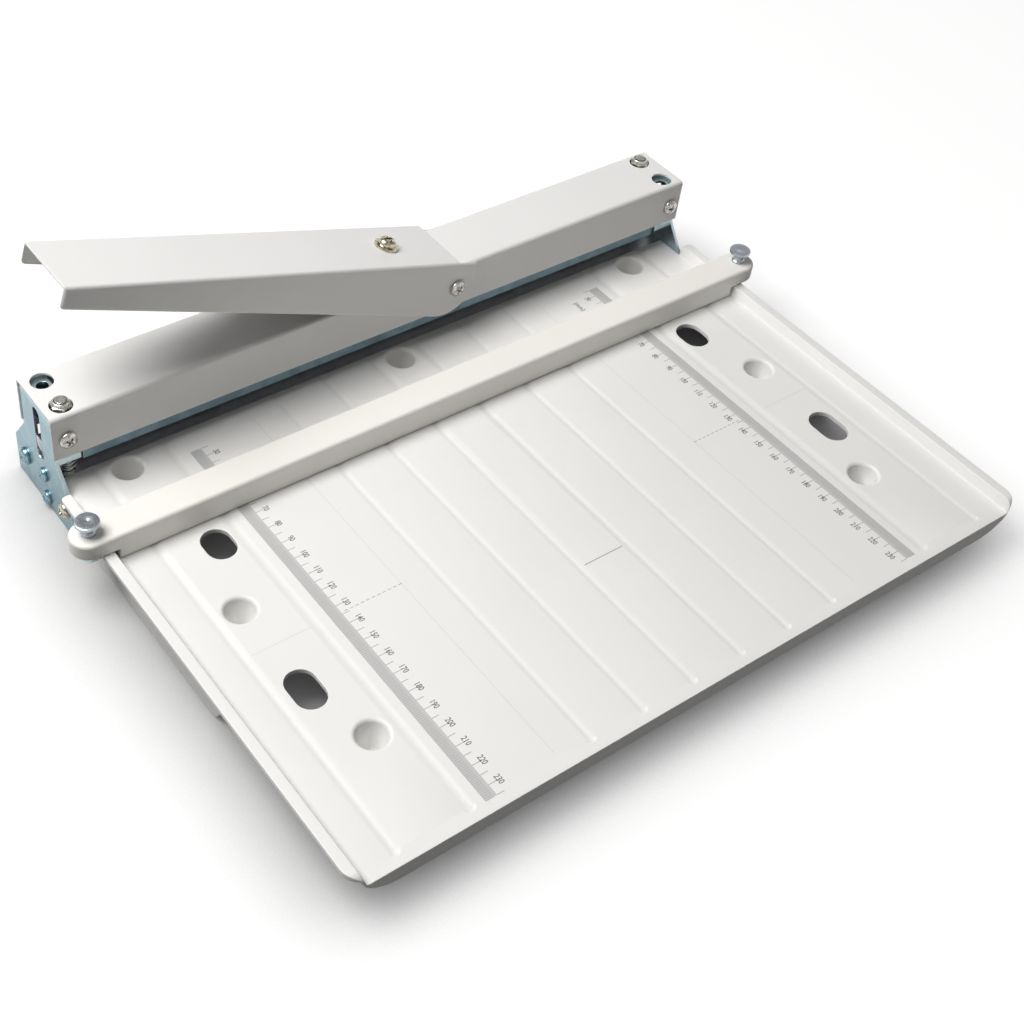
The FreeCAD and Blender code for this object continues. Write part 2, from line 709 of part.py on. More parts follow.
def make_table_board():
    """The moulded table with its rims, skirts, apron, grooves, slots and hollow legs."""
    body = new_body("table_board")
    put_on_table(body)
    front = -D.table_reach
    rear = -D.board_rear

    sketch = new_sketch(body, "XY_Plane", -D.apron_height)
    draw_rectangle(sketch, -D.table_half, D.table_half, front, rear)
    pad(body, sketch, D.apron_height + D.rim_height)
    round_edges(body, D.table_corner_radius, edge_at(x=D.table_half, y=D.table_reach, along="z"))

    # The bed between the rims, with the rims' sloping inner walls
    foot = D.rim_inner - D.rim_slope
    above = D.rim_height + D.overrun
    sketch = new_sketch(body, "XZ_Plane")
    draw_outline(sketch, [
        (-D.rim_inner, above), (-D.rim_inner, D.rim_height), (-foot, 0),
        (foot, 0), (D.rim_inner, D.rim_height), (D.rim_inner, above),
    ])
    pocket(body, sketch, through=True)

    # Outside the skirts, under the overhanging lips
    outside = D.table_half + D.overrun
    below = -D.apron_height - D.overrun
    sketch = new_sketch(body, "XZ_Plane")
    for side in (-1, 1):
        draw_outline(sketch, [
            (side * outside, below), (side * outside, D.lip_height),
            (side * (D.table_half - D.lip_knee), D.lip_height),
            (side * D.skirt_half, -D.lip_root), (side * D.skirt_half, below),
        ])
    pocket(body, sketch, through=True)

    # Under the board, behind the apron
    sketch = new_sketch(body, "XY_Plane", -D.board_wall)
    draw_rectangle(sketch, -outside, outside, front + D.apron_wall, rear + D.overrun)
    pocket(body, sketch, D.apron_height)

    # The apron's lower corners sweep up to the lips
    rise = D.apron_height - D.lip_root
    radius = (rise * rise + D.apron_sweep * D.apron_sweep) / (2 * rise)
    sketch = new_sketch(body, "XZ_Plane", D.table_reach + D.overrun)
    for side in (-1, 1):
        corner = side * (D.skirt_half - D.apron_sweep)
        centre = (corner, -D.apron_height + radius)
        low = (corner, -D.apron_height)
        high = (side * D.skirt_half, -D.lip_root)
        arc = [low + (centre,), high] if side > 0 else [high + (centre,), low]
        rest = [(side * outside, -D.lip_root), (side * outside, below), (corner, below)]
        draw_outline(sketch, arc + rest if side > 0 else arc + rest[::-1])
    pocket(body, sketch, D.apron_wall + D.overrun)

    # The rims stop in front of the end plates and run out at the front edge
    rim_rear = -D.plate_reach - D.running_gap
    sketch = new_sketch(body, "XY_Plane", above)
    for side in (-1, 1):
        draw_rectangle(sketch, side * foot, side * outside, rim_rear, rear + D.overrun)
    pocket(body, sketch, above)
    sketch = new_sketch(body, "XY_Plane", above)
    for side in (-1, 1):
        draw_rectangle(
            sketch, side * D.skirt_half, side * outside, rim_rear, rear + D.overrun)
    pocket(body, sketch, above + D.board_wall + D.overrun)
    round_edges(body, D.rim_end_radius, edge_at(x=D.table_half, y=-rim_rear, along="z"))
    top = D.rim_height
    start = front + D.rim_front_radius
    sink = top - D.rim_front_radius
    sketch = new_sketch(body, "YZ_Plane")
    draw_outline(sketch, [
        (start, top, (start, sink)), (front, sink), (front - D.overrun, sink),
        (front - D.overrun, above), (start, above),
    ])
    pocket(body, sketch, through=True)

    # Skirts, ribs and legs under the board
    sketch = new_sketch(body, "XY_Plane", -D.board_wall)
    for side in (-1, 1):
        draw_rectangle(
            sketch, side * (D.skirt_half - D.skirt_wall), side * D.skirt_half,
            -D.skirt_front, rear)
    pad(body, sketch, D.table_height - D.skirt_lift - D.board_wall, reverse=True)
    round_edges(body, D.skirt_radius, edge_at(
        y=D.skirt_front, z=D.table_height - D.skirt_lift, along="x"))
    sketch = new_sketch(body, "XY_Plane", -D.board_wall)
    inner = D.skirt_half - D.skirt_wall / 2
    for step in range(int(D.rib_count.value)):
        middle = -D.rib_first - step * D.rib_pitch
        draw_rectangle(
            sketch, -inner, inner, middle - D.rib_wall / 2, middle + D.rib_wall / 2)
    pad(body, sketch, D.rib_height, reverse=True)
    leg_bottom = -D.table_height + D.foot_thickness
    for x, y in LEG_PLACES:
        primitive(
            body, "AdditiveCone", (x, y, leg_bottom), Radius1=D.dimple_floor_radius + D.leg_wall,
            Radius2=D.dimple_radius + D.leg_wall, Height=-leg_bottom)
    for side in (-1, 1):
        sketch = new_sketch(body, "YZ_Plane", side * D.skirt_half)
        draw_circle(sketch, (-D.table_screw_y, -D.table_screw_drop), D.table_boss_radius)
        pad(body, sketch, D.table_boss_length, reverse=side > 0)

    # Openings, all cut after the walls that they go through
    for x, y in LEG_PLACES:
        primitive(
            body, "SubtractiveCone", (x, y, -D.dimple_depth), Radius1=D.dimple_floor_radius,
            Radius2=D.dimple_radius, Height=D.dimple_depth)
    round_edges(body, D.dimple_edge_radius, lambda edge: (
        edge.BoundBox.ZLength < SAME_PLACE and close(edge.BoundBox.ZMin, 0)
        and close(edge.BoundBox.XLength, 2 * D.dimple_radius)))
    for low, high in table_slots():
        sketch = new_sketch(body, "XY_Plane", D.overrun)
        draw_obround(sketch, low, high, D.slot_width / 2)
        pocket(body, sketch, D.board_wall + 2 * D.overrun)
    for side in (-1, 1):
        sketch = new_sketch(body, "YZ_Plane", side * D.skirt_half)
        draw_circle(sketch, (-D.table_screw_y, -D.table_screw_drop), D.table_screw_hole)
        pocket(body, sketch, D.table_screw_length - D.plate_sheet, reverse=side < 0)
    sketch = new_sketch(body, "XY_Plane", 0)
    for side in (-1, 1):
        for step in range(int(D.inner_groove_count.value)):
            draw_groove(sketch, side * (step + 0.5) * D.groove_pitch, D.groove_width)
        draw_groove(sketch, side * D.outer_groove_x, D.groove_width)
        draw_groove(sketch, side * D.wide_groove_x, D.wide_groove_width)
    pocket(body, sketch, D.groove_depth, taper=-D.groove_wall_angle)
    return body


def make_rubber_feet():
    """A round pad under each leg."""
    pad_body = turned("foot_pad", [
        (0, 0), (D.foot_radius - D.foot_edge, 0), (D.foot_radius, D.foot_edge),
        (D.foot_radius, D.foot_thickness), (0, D.foot_thickness),
    ])
    return copies("rubber_feet", pad_body, [
        (x, D.crease_y + y, Size.of(0), None) for x, y in LEG_PLACES])


# Base beam and grooved strip

PLATE_SCREWS = [
    (-D.upper_screw_y, -D.upper_screw_drop),
    (-D.lower_screw_y, -D.lower_screw_drop),
]


def make_base_beam():
    """The anvil beam between the end plates, hollowed from below between its solid ends."""
    body = new_body("base_beam")
    put_on_table(body)
    half = D.beam_depth / 2
    bottom = D.beam_lift - D.table_height
    sketch = new_sketch(body, "YZ_Plane")
    draw_rectangle(sketch, -half, half, bottom, -D.strip_thickness)
    pad(body, sketch, 2 * D.plate_inner, both_ways=True)
    sketch = new_sketch(body, "XY_Plane", bottom - D.overrun)
    draw_rectangle(
        sketch, -D.beam_pocket_length / 2, D.beam_pocket_length / 2,
        -D.beam_pocket_depth / 2, D.beam_pocket_depth / 2)
    depth = -D.strip_thickness - D.beam_top_wall - bottom + D.overrun
    pocket(body, sketch, depth, reverse=True)
    for side in (-1, 1):
        sketch = new_sketch(body, "YZ_Plane", side * D.plate_inner)
        for place in PLATE_SCREWS:
            draw_circle(sketch, place, D.m3_hole)
        pocket(body, sketch, D.m3_length - D.plate_sheet, reverse=side < 0)
    return body


def make_crease_matrix():
    """The grooved strip on the beam that the blade presses the sheet into."""
    body = new_body("crease_matrix")
    put_on_table(body)
    half = D.strip_width / 2
    lip = D.strip_groove_width / 2
    sketch = new_sketch(body, "YZ_Plane")
    draw_outline(sketch, [
        (-half, -D.strip_thickness), (half, -D.strip_thickness), (half, 0), (lip, 0),
        (lip, -D.strip_groove_depth), (-lip, -D.strip_groove_depth), (-lip, 0), (-half, 0),
    ])
    pad(body, sketch, D.strip_length, both_ways=True)
    return body


# End plates and what ties them together

def make_left_end_plate():
    """The left plate: a flared foot below, a flanged box end inside the cover above."""
    body = new_body("left_end_plate")
    put_on_table(body)
    outer = -D.plate_outer
    half = D.cover_inner
    foot = -D.table_height
    sketch = new_sketch(body, "YZ_Plane", outer)
    draw_outline(sketch, [
        (-half, D.plate_top), (-half, D.shoulder_height), (-D.flare_reach, D.flare_height),
        (-D.plate_reach, -D.foot_top), (-D.plate_reach, foot), (D.plate_reach, foot),
        (D.plate_reach, -D.foot_top), (D.flare_reach, D.flare_height),
        (half, D.shoulder_height), (half, D.plate_top),
    ])
    pad(body, sketch, D.plate_sheet)
    round_edges(body, D.foot_radius_plate, edge_at(y=D.plate_reach, z=D.foot_top, along="x"))
    inner = outer + D.plate_sheet / 2
    sketch = new_sketch(body, "XY_Plane", D.flange_bottom)
    for side in (-1, 1):
        draw_rectangle(
            sketch, inner, outer + D.flange_length, side * (half - D.plate_sheet), side * half)
    pad(body, sketch, D.plate_top - D.flange_bottom)
    sketch = new_sketch(body, "XY_Plane", D.plate_top)
    draw_rectangle(sketch, inner, outer + D.flange_length, -half, half)
    pad(body, sketch, D.plate_sheet, reverse=True)
    round_edges(body, D.plate_bend, lambda edge: (
        close(edge.BoundBox.XMax, outer) and close(edge.BoundBox.ZMin, D.plate_top)))

    sketch = new_sketch(body, "YZ_Plane", outer - D.overrun)
    radius = D.guide_width / 2
    draw_obround(sketch, (0, D.guide_bottom + radius), (0, D.guide_top - radius), radius)
    draw_circle(sketch, (D.tie_rod_y, -D.tie_rod_drop), D.m4_hole)
    for place in PLATE_SCREWS:
        draw_circle(sketch, place, D.m3_hole)
    draw_circle(sketch, (-D.table_screw_y, -D.table_screw_drop), D.table_screw_hole)
    pocket(body, sketch, D.plate_sheet + 2 * D.overrun, reverse=True)

    sketch = new_sketch(body, "XY_Plane", D.plate_top + D.overrun)
    for side in (-1, 1):
        draw_circle(sketch, (-D.bolt_x, side * D.bolt_offset), D.bolt_hole_radius)
    pocket(body, sketch, D.plate_sheet + 2 * D.overrun)
    sketch = new_sketch(body, "XZ_Plane")
    draw_circle(sketch, (-D.cover_screw_x, D.cover_screw_height), D.m4_hole)
    pocket(body, sketch, through=True)
    return body


def make_right_end_plate(left_plate):
    """The right plate, the left one's mirror image."""
    return mirrored("right_end_plate", left_plate)


def make_rear_tie_rod():
    """The rod that ties the end plates together behind the beam."""
    end = D.plate_inner
    floor = end - D.m4_length + D.plate_sheet
    rod = turned("rear_tie_rod", [
        (0, -floor), (D.m4_hole, -floor), (D.m4_hole, -end), (D.tie_rod_radius, -end),
        (D.tie_rod_radius, end), (D.m4_hole, end), (D.m4_hole, floor), (0, floor),
    ])
    put_on_table(rod, Rotation(Y_AXIS, 90), y=D.tie_rod_y, z=-D.tie_rod_drop)
    return rod


def side_places(places, *turns):
    """Places of screws on both end plates, their heads outwards."""
    found = []
    for side, direction in ((-1, -X_AXIS), (1, X_AXIS)):
        for (y, drop), turn in zip(places, turns):
            found.append((
                side * D.plate_outer, D.crease_y + y, D.table_height + drop,
                facing(direction, side * turn.value)))
    return found


def make_plate_screws():
    """The screws that hold the plates to the tie rod, the beam and the table."""
    m4 = pan_screw("m4_screw", D.m4_radius, D.m4_length, D.m4_head_radius, D.m4_head_height)
    m3 = pan_screw("m3_screw", D.m3_radius, D.m3_length, D.m3_head_radius, D.m3_head_height)
    table = pan_screw(
        "tapping_screw", D.table_screw_radius, D.table_screw_length,
        D.table_screw_head_radius, D.table_screw_head_height)
    tie = copies(
        "tie_rod_screws", m4,
        side_places([(D.tie_rod_y, -D.tie_rod_drop)], D.tie_screw_turn))
    beam = copies(
        "beam_screws", m3, side_places(PLATE_SCREWS, D.upper_screw_turn, D.lower_screw_turn))
    board = copies(
        "table_screws", table,
        side_places([(-D.table_screw_y, -D.table_screw_drop)], D.table_screw_turn))
    return m4, [tie, beam, board]


# Cover

def make_top_cover():
    """The painted sheet cover, an upside-down channel."""
    body = new_body("top_cover")
    put_on_table(body)
    half = D.cover_depth / 2
    inner_top = D.cover_top - D.cover_sheet
    sketch = new_sketch(body, "YZ_Plane")
    draw_outline(sketch, [
        (-half, D.cover_bottom), (-D.cover_inner, D.cover_bottom), (-D.cover_inner, inner_top),
        (D.cover_inner, inner_top), (D.cover_inner, D.cover_bottom), (half, D.cover_bottom),
        (half, D.cover_top), (-half, D.cover_top),
    ])
    pad(body, sketch, D.cover_width, both_ways=True)
    round_edges(body, D.cover_bend, edge_at(y=half, z=D.cover_top, along="x"))
    round_edges(
        body, D.cover_bend - D.cover_sheet, edge_at(y=D.cover_inner, z=inner_top, along="x"))
    sketch = new_sketch(body, "XY_Plane", D.cover_top + D.overrun)
    for x_side in (-1, 1):
        for y_side in (-1, 1):
            draw_circle(
                sketch, (x_side * D.bolt_x, y_side * D.bolt_offset), D.nut_hole_radius)
    run = (D.press_hole_length - D.press_hole_width) / 2
    draw_obround(
        sketch, (D.press_hole_x - run, 0), (D.press_hole_x + run, 0), D.press_hole_width / 2)
    pocket(body, sketch, D.cover_sheet + 2 * D.overrun)
    sketch = new_sketch(body, "XZ_Plane")
    for side in (-1, 1):
        draw_circle(sketch, (side * D.cover_screw_x, D.cover_screw_height), D.m4_hole)
    draw_circle(sketch, (D.pivot_x, D.pivot_height), D.m4_hole)
    pocket(body, sketch, through=True)
    return body


def make_cover_screws():
    """Four screws that hold the cover to the end plates' flanges."""
    short = pan_screw(
        "short_m4_screw", D.m4_radius, D.cover_screw_length, D.m4_head_radius, D.m4_head_height)
    places = []
    for side, direction in ((-1, -Y_AXIS), (1, Y_AXIS)):
        for end in (-1, 1):
            places.append((
                end * D.cover_screw_x, D.crease_y + side * D.cover_depth / 2,
                D.table_height + D.cover_screw_height,
                facing(direction, end * side * D.cover_screw_turn.value)))
    return copies("cover_screws", short, places)


def make_spring_bolts():
    """The bolts that hang from the end plates and guide the springs, with their nuts."""
    length = D.plate_top + D.nut_height + D.nut_collar_height + D.bolt_end - D.bolt_head_top
    bolt = turned("spring_bolt", [
        (0, -D.bolt_head_height), (D.bolt_head_radius, -D.bolt_head_height),
        (D.bolt_head_radius, 0), (D.bolt_radius, 0), (D.bolt_radius, length), (0, length),
    ])
    nut = hex_nut(
        "lock_nut", D.nut_flats, D.nut_height, D.bolt_radius + D.thread_gap,
        D.nut_collar_radius, D.nut_collar_height)
    bolts = []
    nuts = []
    for side in (-1, 1):
        x = side * D.bolt_x
        y = D.crease_y + side * D.bolt_offset
        turn = Rotation(Z_AXIS, side * D.nut_turn.value)
        bolts.append((x, y, D.table_height + D.bolt_head_top, turn))
        nuts.append((x, y, D.table_height + D.plate_top, turn))
    return [copies("spring_bolts", bolt, bolts), copies("spring_nuts", nut, nuts)]


# Die carrier with its bar and blade

def make_upper_die_carrier():
    """The pressing channel inside the cover, with a spring lug at each end."""
    body = new_body("upper_die_carrier")
    put_on_table(body)
    half = D.carrier_depth / 2
    inner = half - D.carrier_sheet
    sketch = new_sketch(body, "YZ_Plane")
    draw_outline(sketch, [
        (-half, D.carrier_bottom), (-inner, D.carrier_bottom), (-inner, D.web_bottom),
        (inner, D.web_bottom), (inner, D.carrier_bottom), (half, D.carrier_bottom),
        (half, D.carrier_top), (-half, D.carrier_top),
    ])
    pad(body, sketch, D.carrier_length, both_ways=True)
    round_edges(body, D.carrier_bend, edge_at(y=half, z=D.carrier_top, along="x"))
    sketch = new_sketch(body, "XY_Plane", D.web_bottom)
    reach = D.carrier_length / 2 + D.lug_reach
    draw_rectangle(sketch, -reach, reach, -D.lug_depth / 2, D.lug_depth / 2)
    pad(body, sketch, D.carrier_sheet)
    sketch = new_sketch(body, "XY_Plane", D.carrier_top + D.overrun)
    for side in (-1, 1):
        draw_circle(
            sketch, (side * D.bolt_x, side * D.bolt_offset), D.bolt_radius + D.lug_hole_play)
        for step in range(2):
            x = side * (D.bar_screw_x + step * D.bar_screw_pitch)
            draw_circle(sketch, (x, 0), D.m4_hole)
    pocket(body, sketch, D.carrier_sheet + 2 * D.overrun)
    return body


def make_blade_bar():
    """The bar that holds the blade. Its end tabs run in the end plates' guide slots."""
    body = new_body("blade_bar")
    put_on_table(body)
    half = D.bar_thickness / 2
    tab = D.plate_outer - D.tab_inset
    sketch = new_sketch(body, "YZ_Plane")
    draw_rectangle(sketch, -half, half, D.bar_bottom, D.web_bottom)
    pad(body, sketch, D.bar_length, both_ways=True)
    sketch = new_sketch(body, "YZ_Plane")
    draw_rectangle(sketch, -half, half, D.bar_bottom, D.bar_bottom + D.tab_height)
    pad(body, sketch, 2 * tab, both_ways=True)
    radius = half * D.tab_round_share
    middle = D.bar_bottom + radius
    below = D.bar_bottom - D.overrun
    for side in (-1, 1):
        sketch = new_sketch(body, "YZ_Plane", side * tab)
        draw_outline(sketch, [
            (half - radius, D.bar_bottom, (half - radius, middle)), (half, middle),
            (half + D.overrun, middle), (half + D.overrun, below), (half - radius, below),
        ])
        draw_outline(sketch, [
            (-half, middle, (radius - half, middle)), (radius - half, D.bar_bottom),
            (radius - half, below), (-half - D.overrun, below), (-half - D.overrun, middle),
        ])
        pocket(body, sketch, tab - D.bar_length / 2, reverse=side < 0)
    sketch = new_sketch(body, "XY_Plane", D.bar_bottom - D.overrun)
    draw_rectangle(
        sketch, -D.blade_length / 2, D.blade_length / 2,
        -D.blade_thickness / 2, D.blade_thickness / 2)
    pocket(body, sketch, D.blade_seat + D.overrun, reverse=True)
    sketch = new_sketch(body, "XY_Plane", D.web_bottom)
    for side in (-1, 1):
        for step in range(2):
            x = side * (D.bar_screw_x + step * D.bar_screw_pitch)
            draw_circle(sketch, (x, 0), D.m4_hole)
    pocket(body, sketch, D.m4_length - D.carrier_sheet)
    sketch = new_sketch(body, "XZ_Plane", half)
    for x in grub_xs():
        draw_circle(sketch, (x, D.bar_bottom + D.grub_height), D.grub_hole)
    pocket(body, sketch, half - D.blade_thickness / 2)
    return body


def grub_xs():
    """Where the grub screws sit along the bar."""
    count = int(D.grub_count.value)
    return [(step - (count - 1) / 2) * D.grub_pitch for step in range(count)]


def make_creasing_blade():
    """The blunt steel rule that makes the crease."""
    body = new_body("creasing_blade")
    put_on_table(body)
    half = D.blade_thickness / 2
    sketch = new_sketch(body, "YZ_Plane")
    draw_rectangle(sketch, -half, half, D.blade_edge, D.bar_bottom + D.blade_seat)
    pad(body, sketch, D.blade_length, both_ways=True)
    round_edges(body, D.blade_edge_radius, edge_at(y=half, z=D.blade_edge, along="x"))
    return body


def make_bar_screws(m4):
    """Screws from the carrier's top into the bar, and grub screws that hold the blade."""
    places = []
    for side in (-1, 1):
        for step in range(2):
            x = side * (D.bar_screw_x + step * D.bar_screw_pitch)
            places.append((
                x, D.crease_y, D.table_height + D.carrier_top,
                Rotation(Z_AXIS, side * D.bar_screw_turn.value)))
    length = (D.bar_thickness - D.blade_thickness) / 2
    grub = turned("grub_screw", [
        (0, 0), (D.grub_radius, 0), (D.grub_radius, length), (0, length)])
    grubs = [(
        x, D.crease_y - D.blade_thickness / 2, D.table_height + D.bar_bottom + D.grub_height,
        facing(-Y_AXIS)) for x in grub_xs()]
    return [copies("blade_bar_screws", m4, places), copies("blade_grub_screws", grub, grubs)]


# Return springs

def arc_from(start, heading, end):
    """The arc from a point along a heading to an end point."""
    chord = end - start
    ahead = Vector(chord)
    ahead.normalize()
    aside = heading - ahead * heading.dot(ahead)
    aside.normalize()
    sagitta = chord.Length / 2 * math.tan(heading.getAngle(ahead) / 2)
    return Part.Arc(start, start + chord / 2 + aside * sagitta, end).toShape()


def coil_path(radius, height, turns):
    """A helix of quarter turns, each made of two arcs that meet smoothly."""
    quarters = 4 * turns
    rise = height / (quarters * math.pi / 2)

    def station(step):
        angle = step * math.pi / 2
        point = Vector(radius * math.cos(angle), radius * math.sin(angle), rise * angle)
        heading = Vector(-radius * math.sin(angle), radius * math.cos(angle), rise)
        heading.normalize()
        return point, heading

    edges = []
    for step in range(quarters):
        start, leaving = station(step)
        end, arriving = station(step + 1)
        span = end - start
        spread = 2 * (1 - leaving.dot(arriving))
        lean = span.dot(leaving + arriving)
        reach = (math.sqrt(lean ** 2 + spread * span.dot(span)) - lean) / spread
        joint = (start + leaving * reach + end - arriving * reach) / 2
        edges.append(arc_from(start, leaving, joint))
        back = arc_from(end, -arriving, joint)
        back.reverse()
        edges.append(back)
    return Part.Wire(edges), station(0)


def make_spring(label, side):
    """One return spring between its bolt's head and the carrier's lug."""
    wire = D.wire_radius.value
    radius = D.spring_radius.value
    turns = int(D.spring_turns.value)
    seat = wire + D.spring_seat_gap.value
    room = D.web_bottom.value - D.bolt_head_top.value
    path, (start, heading) = coil_path(radius, room - 2 * seat, turns)
    sweep = Part.BRepOffsetAPI.MakePipeShell(path)
    sweep.add(Part.Wire(Part.Circle(start, heading, wire).toShape()))
    sweep.build()
    sweep.makeSolid()
    spring = DOC.addObject("Part::Feature", label)
    spring.Label = label
    spring.Shape = sweep.shape()
    put(spring, side * D.bolt_x, D.crease_y + side * D.bolt_offset,
        D.table_height + D.bolt_head_top + D.wire_radius + D.spring_seat_gap)
    print(f"{label}: least gap between turns {least_gap(path, turns, wire):.2f} mm")
    return spring


def least_gap(path, turns, wire):
    """The least gap between neighbouring turns of a coil, measured on points of its path."""
    points = path.discretize(Number=turns * POINTS_PER_TURN + 1)
    nearest = min(
        (one - other).Length
        for step, one in enumerate(points)
        for other in points[step + POINTS_PER_TURN // 2:step + 3 * POINTS_PER_TURN // 2])
    return nearest - 2 * wire


# Lever, its pivot and the press screw

def put_on_lever(thing):
    """Place an object from the lever's pivot, turned with the open lever."""
    thing.Placement = Placement(Vector(), Rotation(Y_AXIS, 1))
    bind(thing, "Placement.Rotation.Angle", D.lever_angle)
    bind(thing, "Placement.Base.x", D.pivot_x)
    bind(thing, "Placement.Base.y", D.crease_y)
    bind(thing, "Placement.Base.z", D.table_height + D.pivot_height)


def make_press_lever():
    """The hand lever, a tapered channel that straddles the cover."""
    body = new_body("press_lever")
    put_on_lever(body)
    bottom_end = D.lever_rise - D.handle_end_depth
    bottom_nose = bottom_end - (D.lever_reach + D.nose_reach) * D.taper_share
    sketch = new_sketch(body, "XZ_Plane")
    draw_outline(sketch, [
        (-D.lever_reach, D.lever_rise), (-D.lever_reach, bottom_end),
        (D.nose_reach, bottom_nose), (D.nose_reach, D.lever_rise),
    ])
    pad(body, sketch, D.lever_width, both_ways=True)
    for radius, level in (
            (D.nose_lower_radius, bottom_nose), (D.nose_upper_radius, D.lever_rise)):
        round_edges(body, radius, edge_at(x=D.nose_reach, z=level, along="y"))
    round_edges(body, D.handle_corner_radius, lambda edge: (
        close(edge.BoundBox.XMax, -D.lever_reach) and close(edge.BoundBox.ZMin, bottom_end)
        and edge.BoundBox.ZLength < SAME_PLACE))
    round_edges(body, D.lever_bend, lambda edge: (
        close(edge.BoundBox.ZMin, D.lever_rise) and edge.BoundBox.YLength < SAME_PLACE))
    inner = D.lever_width / 2 - D.lever_sheet
    sketch = new_sketch(body, "XZ_Plane", -inner)
    draw_rectangle(
        sketch, -D.web_end, D.nose_reach + D.overrun,
        D.lever_rise - D.rear_nose_drop, D.lever_rise + D.overrun)
    pocket(body, sketch, D.lever_sheet + D.overrun)
    under_web = D.lever_rise - D.lever_sheet
    sketch = new_sketch(body, "XY_Plane", under_web)
    draw_rectangle(
        sketch, -D.lever_reach - D.overrun, D.nose_reach + D.overrun, -inner, inner)
    pocket(body, sketch, under_web - bottom_nose + D.overrun)
    sketch = new_sketch(body, "XY_Plane", D.lever_rise + D.overrun)
    draw_rectangle(sketch, -D.web_end, D.nose_reach + D.overrun, -inner, inner)
    pocket(body, sketch, D.lever_sheet + 2 * D.overrun)
    sketch = new_sketch(body, "XY_Plane", D.lever_rise + D.overrun)
    draw_circle(sketch, (-D.press_arm, 0), D.m4_hole)
    pocket(body, sketch, D.lever_sheet + 2 * D.overrun)
    sketch = new_sketch(body, "XZ_Plane")
    draw_circle(sketch, (0, 0), D.turning_hole)
    pocket(body, sketch, through=True)
    return body


def make_press_screw_set():
    """The press screw through the lever's top, its washer and its nut."""
    washer_top = D.lever_rise + D.press_washer_height
    under_web = D.lever_rise - D.lever_sheet
    screw = new_body("press_screw")
    put_on_lever(screw)
    sketch = new_sketch(screw, "XY_Plane", washer_top)
    draw_circle(sketch, (-D.press_arm, 0), D.press_head_radius)
    pad(screw, sketch, D.press_head_height)
    head_top = washer_top + D.press_head_height
    round_edges(screw, D.press_head_height * D.head_round_share, lambda edge: (
        close(edge.BoundBox.ZMin, head_top)))
    sketch = new_sketch(screw, "XY_Plane", washer_top)
    draw_circle(sketch, (-D.press_arm, 0), D.m4_radius)
    pad(screw, sketch, washer_top - D.screw_tip_height, reverse=True)
    primitive(
        screw, "AdditiveSphere", (-D.press_arm, Size.of(0), D.screw_tip_height), Radius=D.m4_radius)
    arm = D.press_head_radius * D.recess_length_share
    half = D.press_head_radius * D.recess_width_share
    x = -D.press_arm
    sketch = new_sketch(screw, "XY_Plane", head_top)
    draw_outline(sketch, [
        (x - arm, -half), (x - half, -half), (x - half, -arm), (x + half, -arm),
        (x + half, -half), (x + arm, -half), (x + arm, half), (x + half, half),
        (x + half, arm), (x - half, arm), (x - half, half), (x - arm, half),
    ])
    pocket(screw, sketch, D.press_head_height * D.recess_depth_share)

    washer = new_body("press_washer")
    put_on_lever(washer)
    sketch = new_sketch(washer, "XY_Plane", D.lever_rise)
    draw_circle(sketch, (-D.press_arm, 0), D.press_washer_radius)
    draw_circle(sketch, (-D.press_arm, 0), D.m4_radius + D.press_washer_play)
    pad(washer, sketch, D.press_washer_height)

    nut = new_body("press_nut")
    put_on_lever(nut)
    apothem = D.press_nut_flats / 2
    corner = D.press_nut_flats * (1 / math.sqrt(3))
    sketch = new_sketch(nut, "XY_Plane", under_web)
    draw_outline(sketch, [
        (x + corner, 0), (x + corner / 2, apothem), (x - corner / 2, apothem),
        (x - corner, 0), (x - corner / 2, -apothem), (x + corner / 2, -apothem),
    ])
    draw_circle(sketch, (x, 0), D.m4_hole)
    pad(nut, sketch, D.press_nut_height, reverse=True)
    return [screw, washer, nut]


def make_lever_pivot():
    """The axle inside the cover, the two screws that the lever turns on, and washers."""
    end = D.cover_inner
    floor = end - D.axle_bore_depth
    axle = turned("lever_axle", [
        (0, -floor), (D.m4_hole, -floor), (D.m4_hole, -end), (D.axle_radius, -end),
        (D.axle_radius, end), (D.m4_hole, end), (D.m4_hole, floor), (0, floor),
    ])
    put_on_table(axle, Rotation(X_AXIS, 90), x=D.pivot_x, z=D.pivot_height)
    screw = pan_screw(
        "pivot_screw", D.m4_radius, D.axle_screw_length,
        D.axle_screw_head_radius, D.m4_head_height)
    seat = D.cover_depth / 2 + D.pivot_washer_gap
    thickness = D.lever_width / 2 - D.lever_sheet - D.pivot_washer_gap - seat
    washer = turned("pivot_washer", [
        (D.turning_hole, 0), (D.pivot_washer_radius, 0),
        (D.pivot_washer_radius, thickness), (D.turning_hole, thickness),
    ])
    screws = []
    washers = []
    height = D.table_height + D.pivot_height
    for side, direction in ((-1, -Y_AXIS), (1, Y_AXIS)):
        head = D.lever_width / 2 + D.pivot_play
        screws.append((
            D.pivot_x, D.crease_y + side * head, height,
            facing(direction, side * D.pivot_screw_turn.value)))
        washers.append((D.pivot_x, D.crease_y + side * seat, height, facing(direction)))
    return [
        axle, copies("axle_screws", screw, screws), copies("pivot_washers", washer, washers)]


# Stop bar

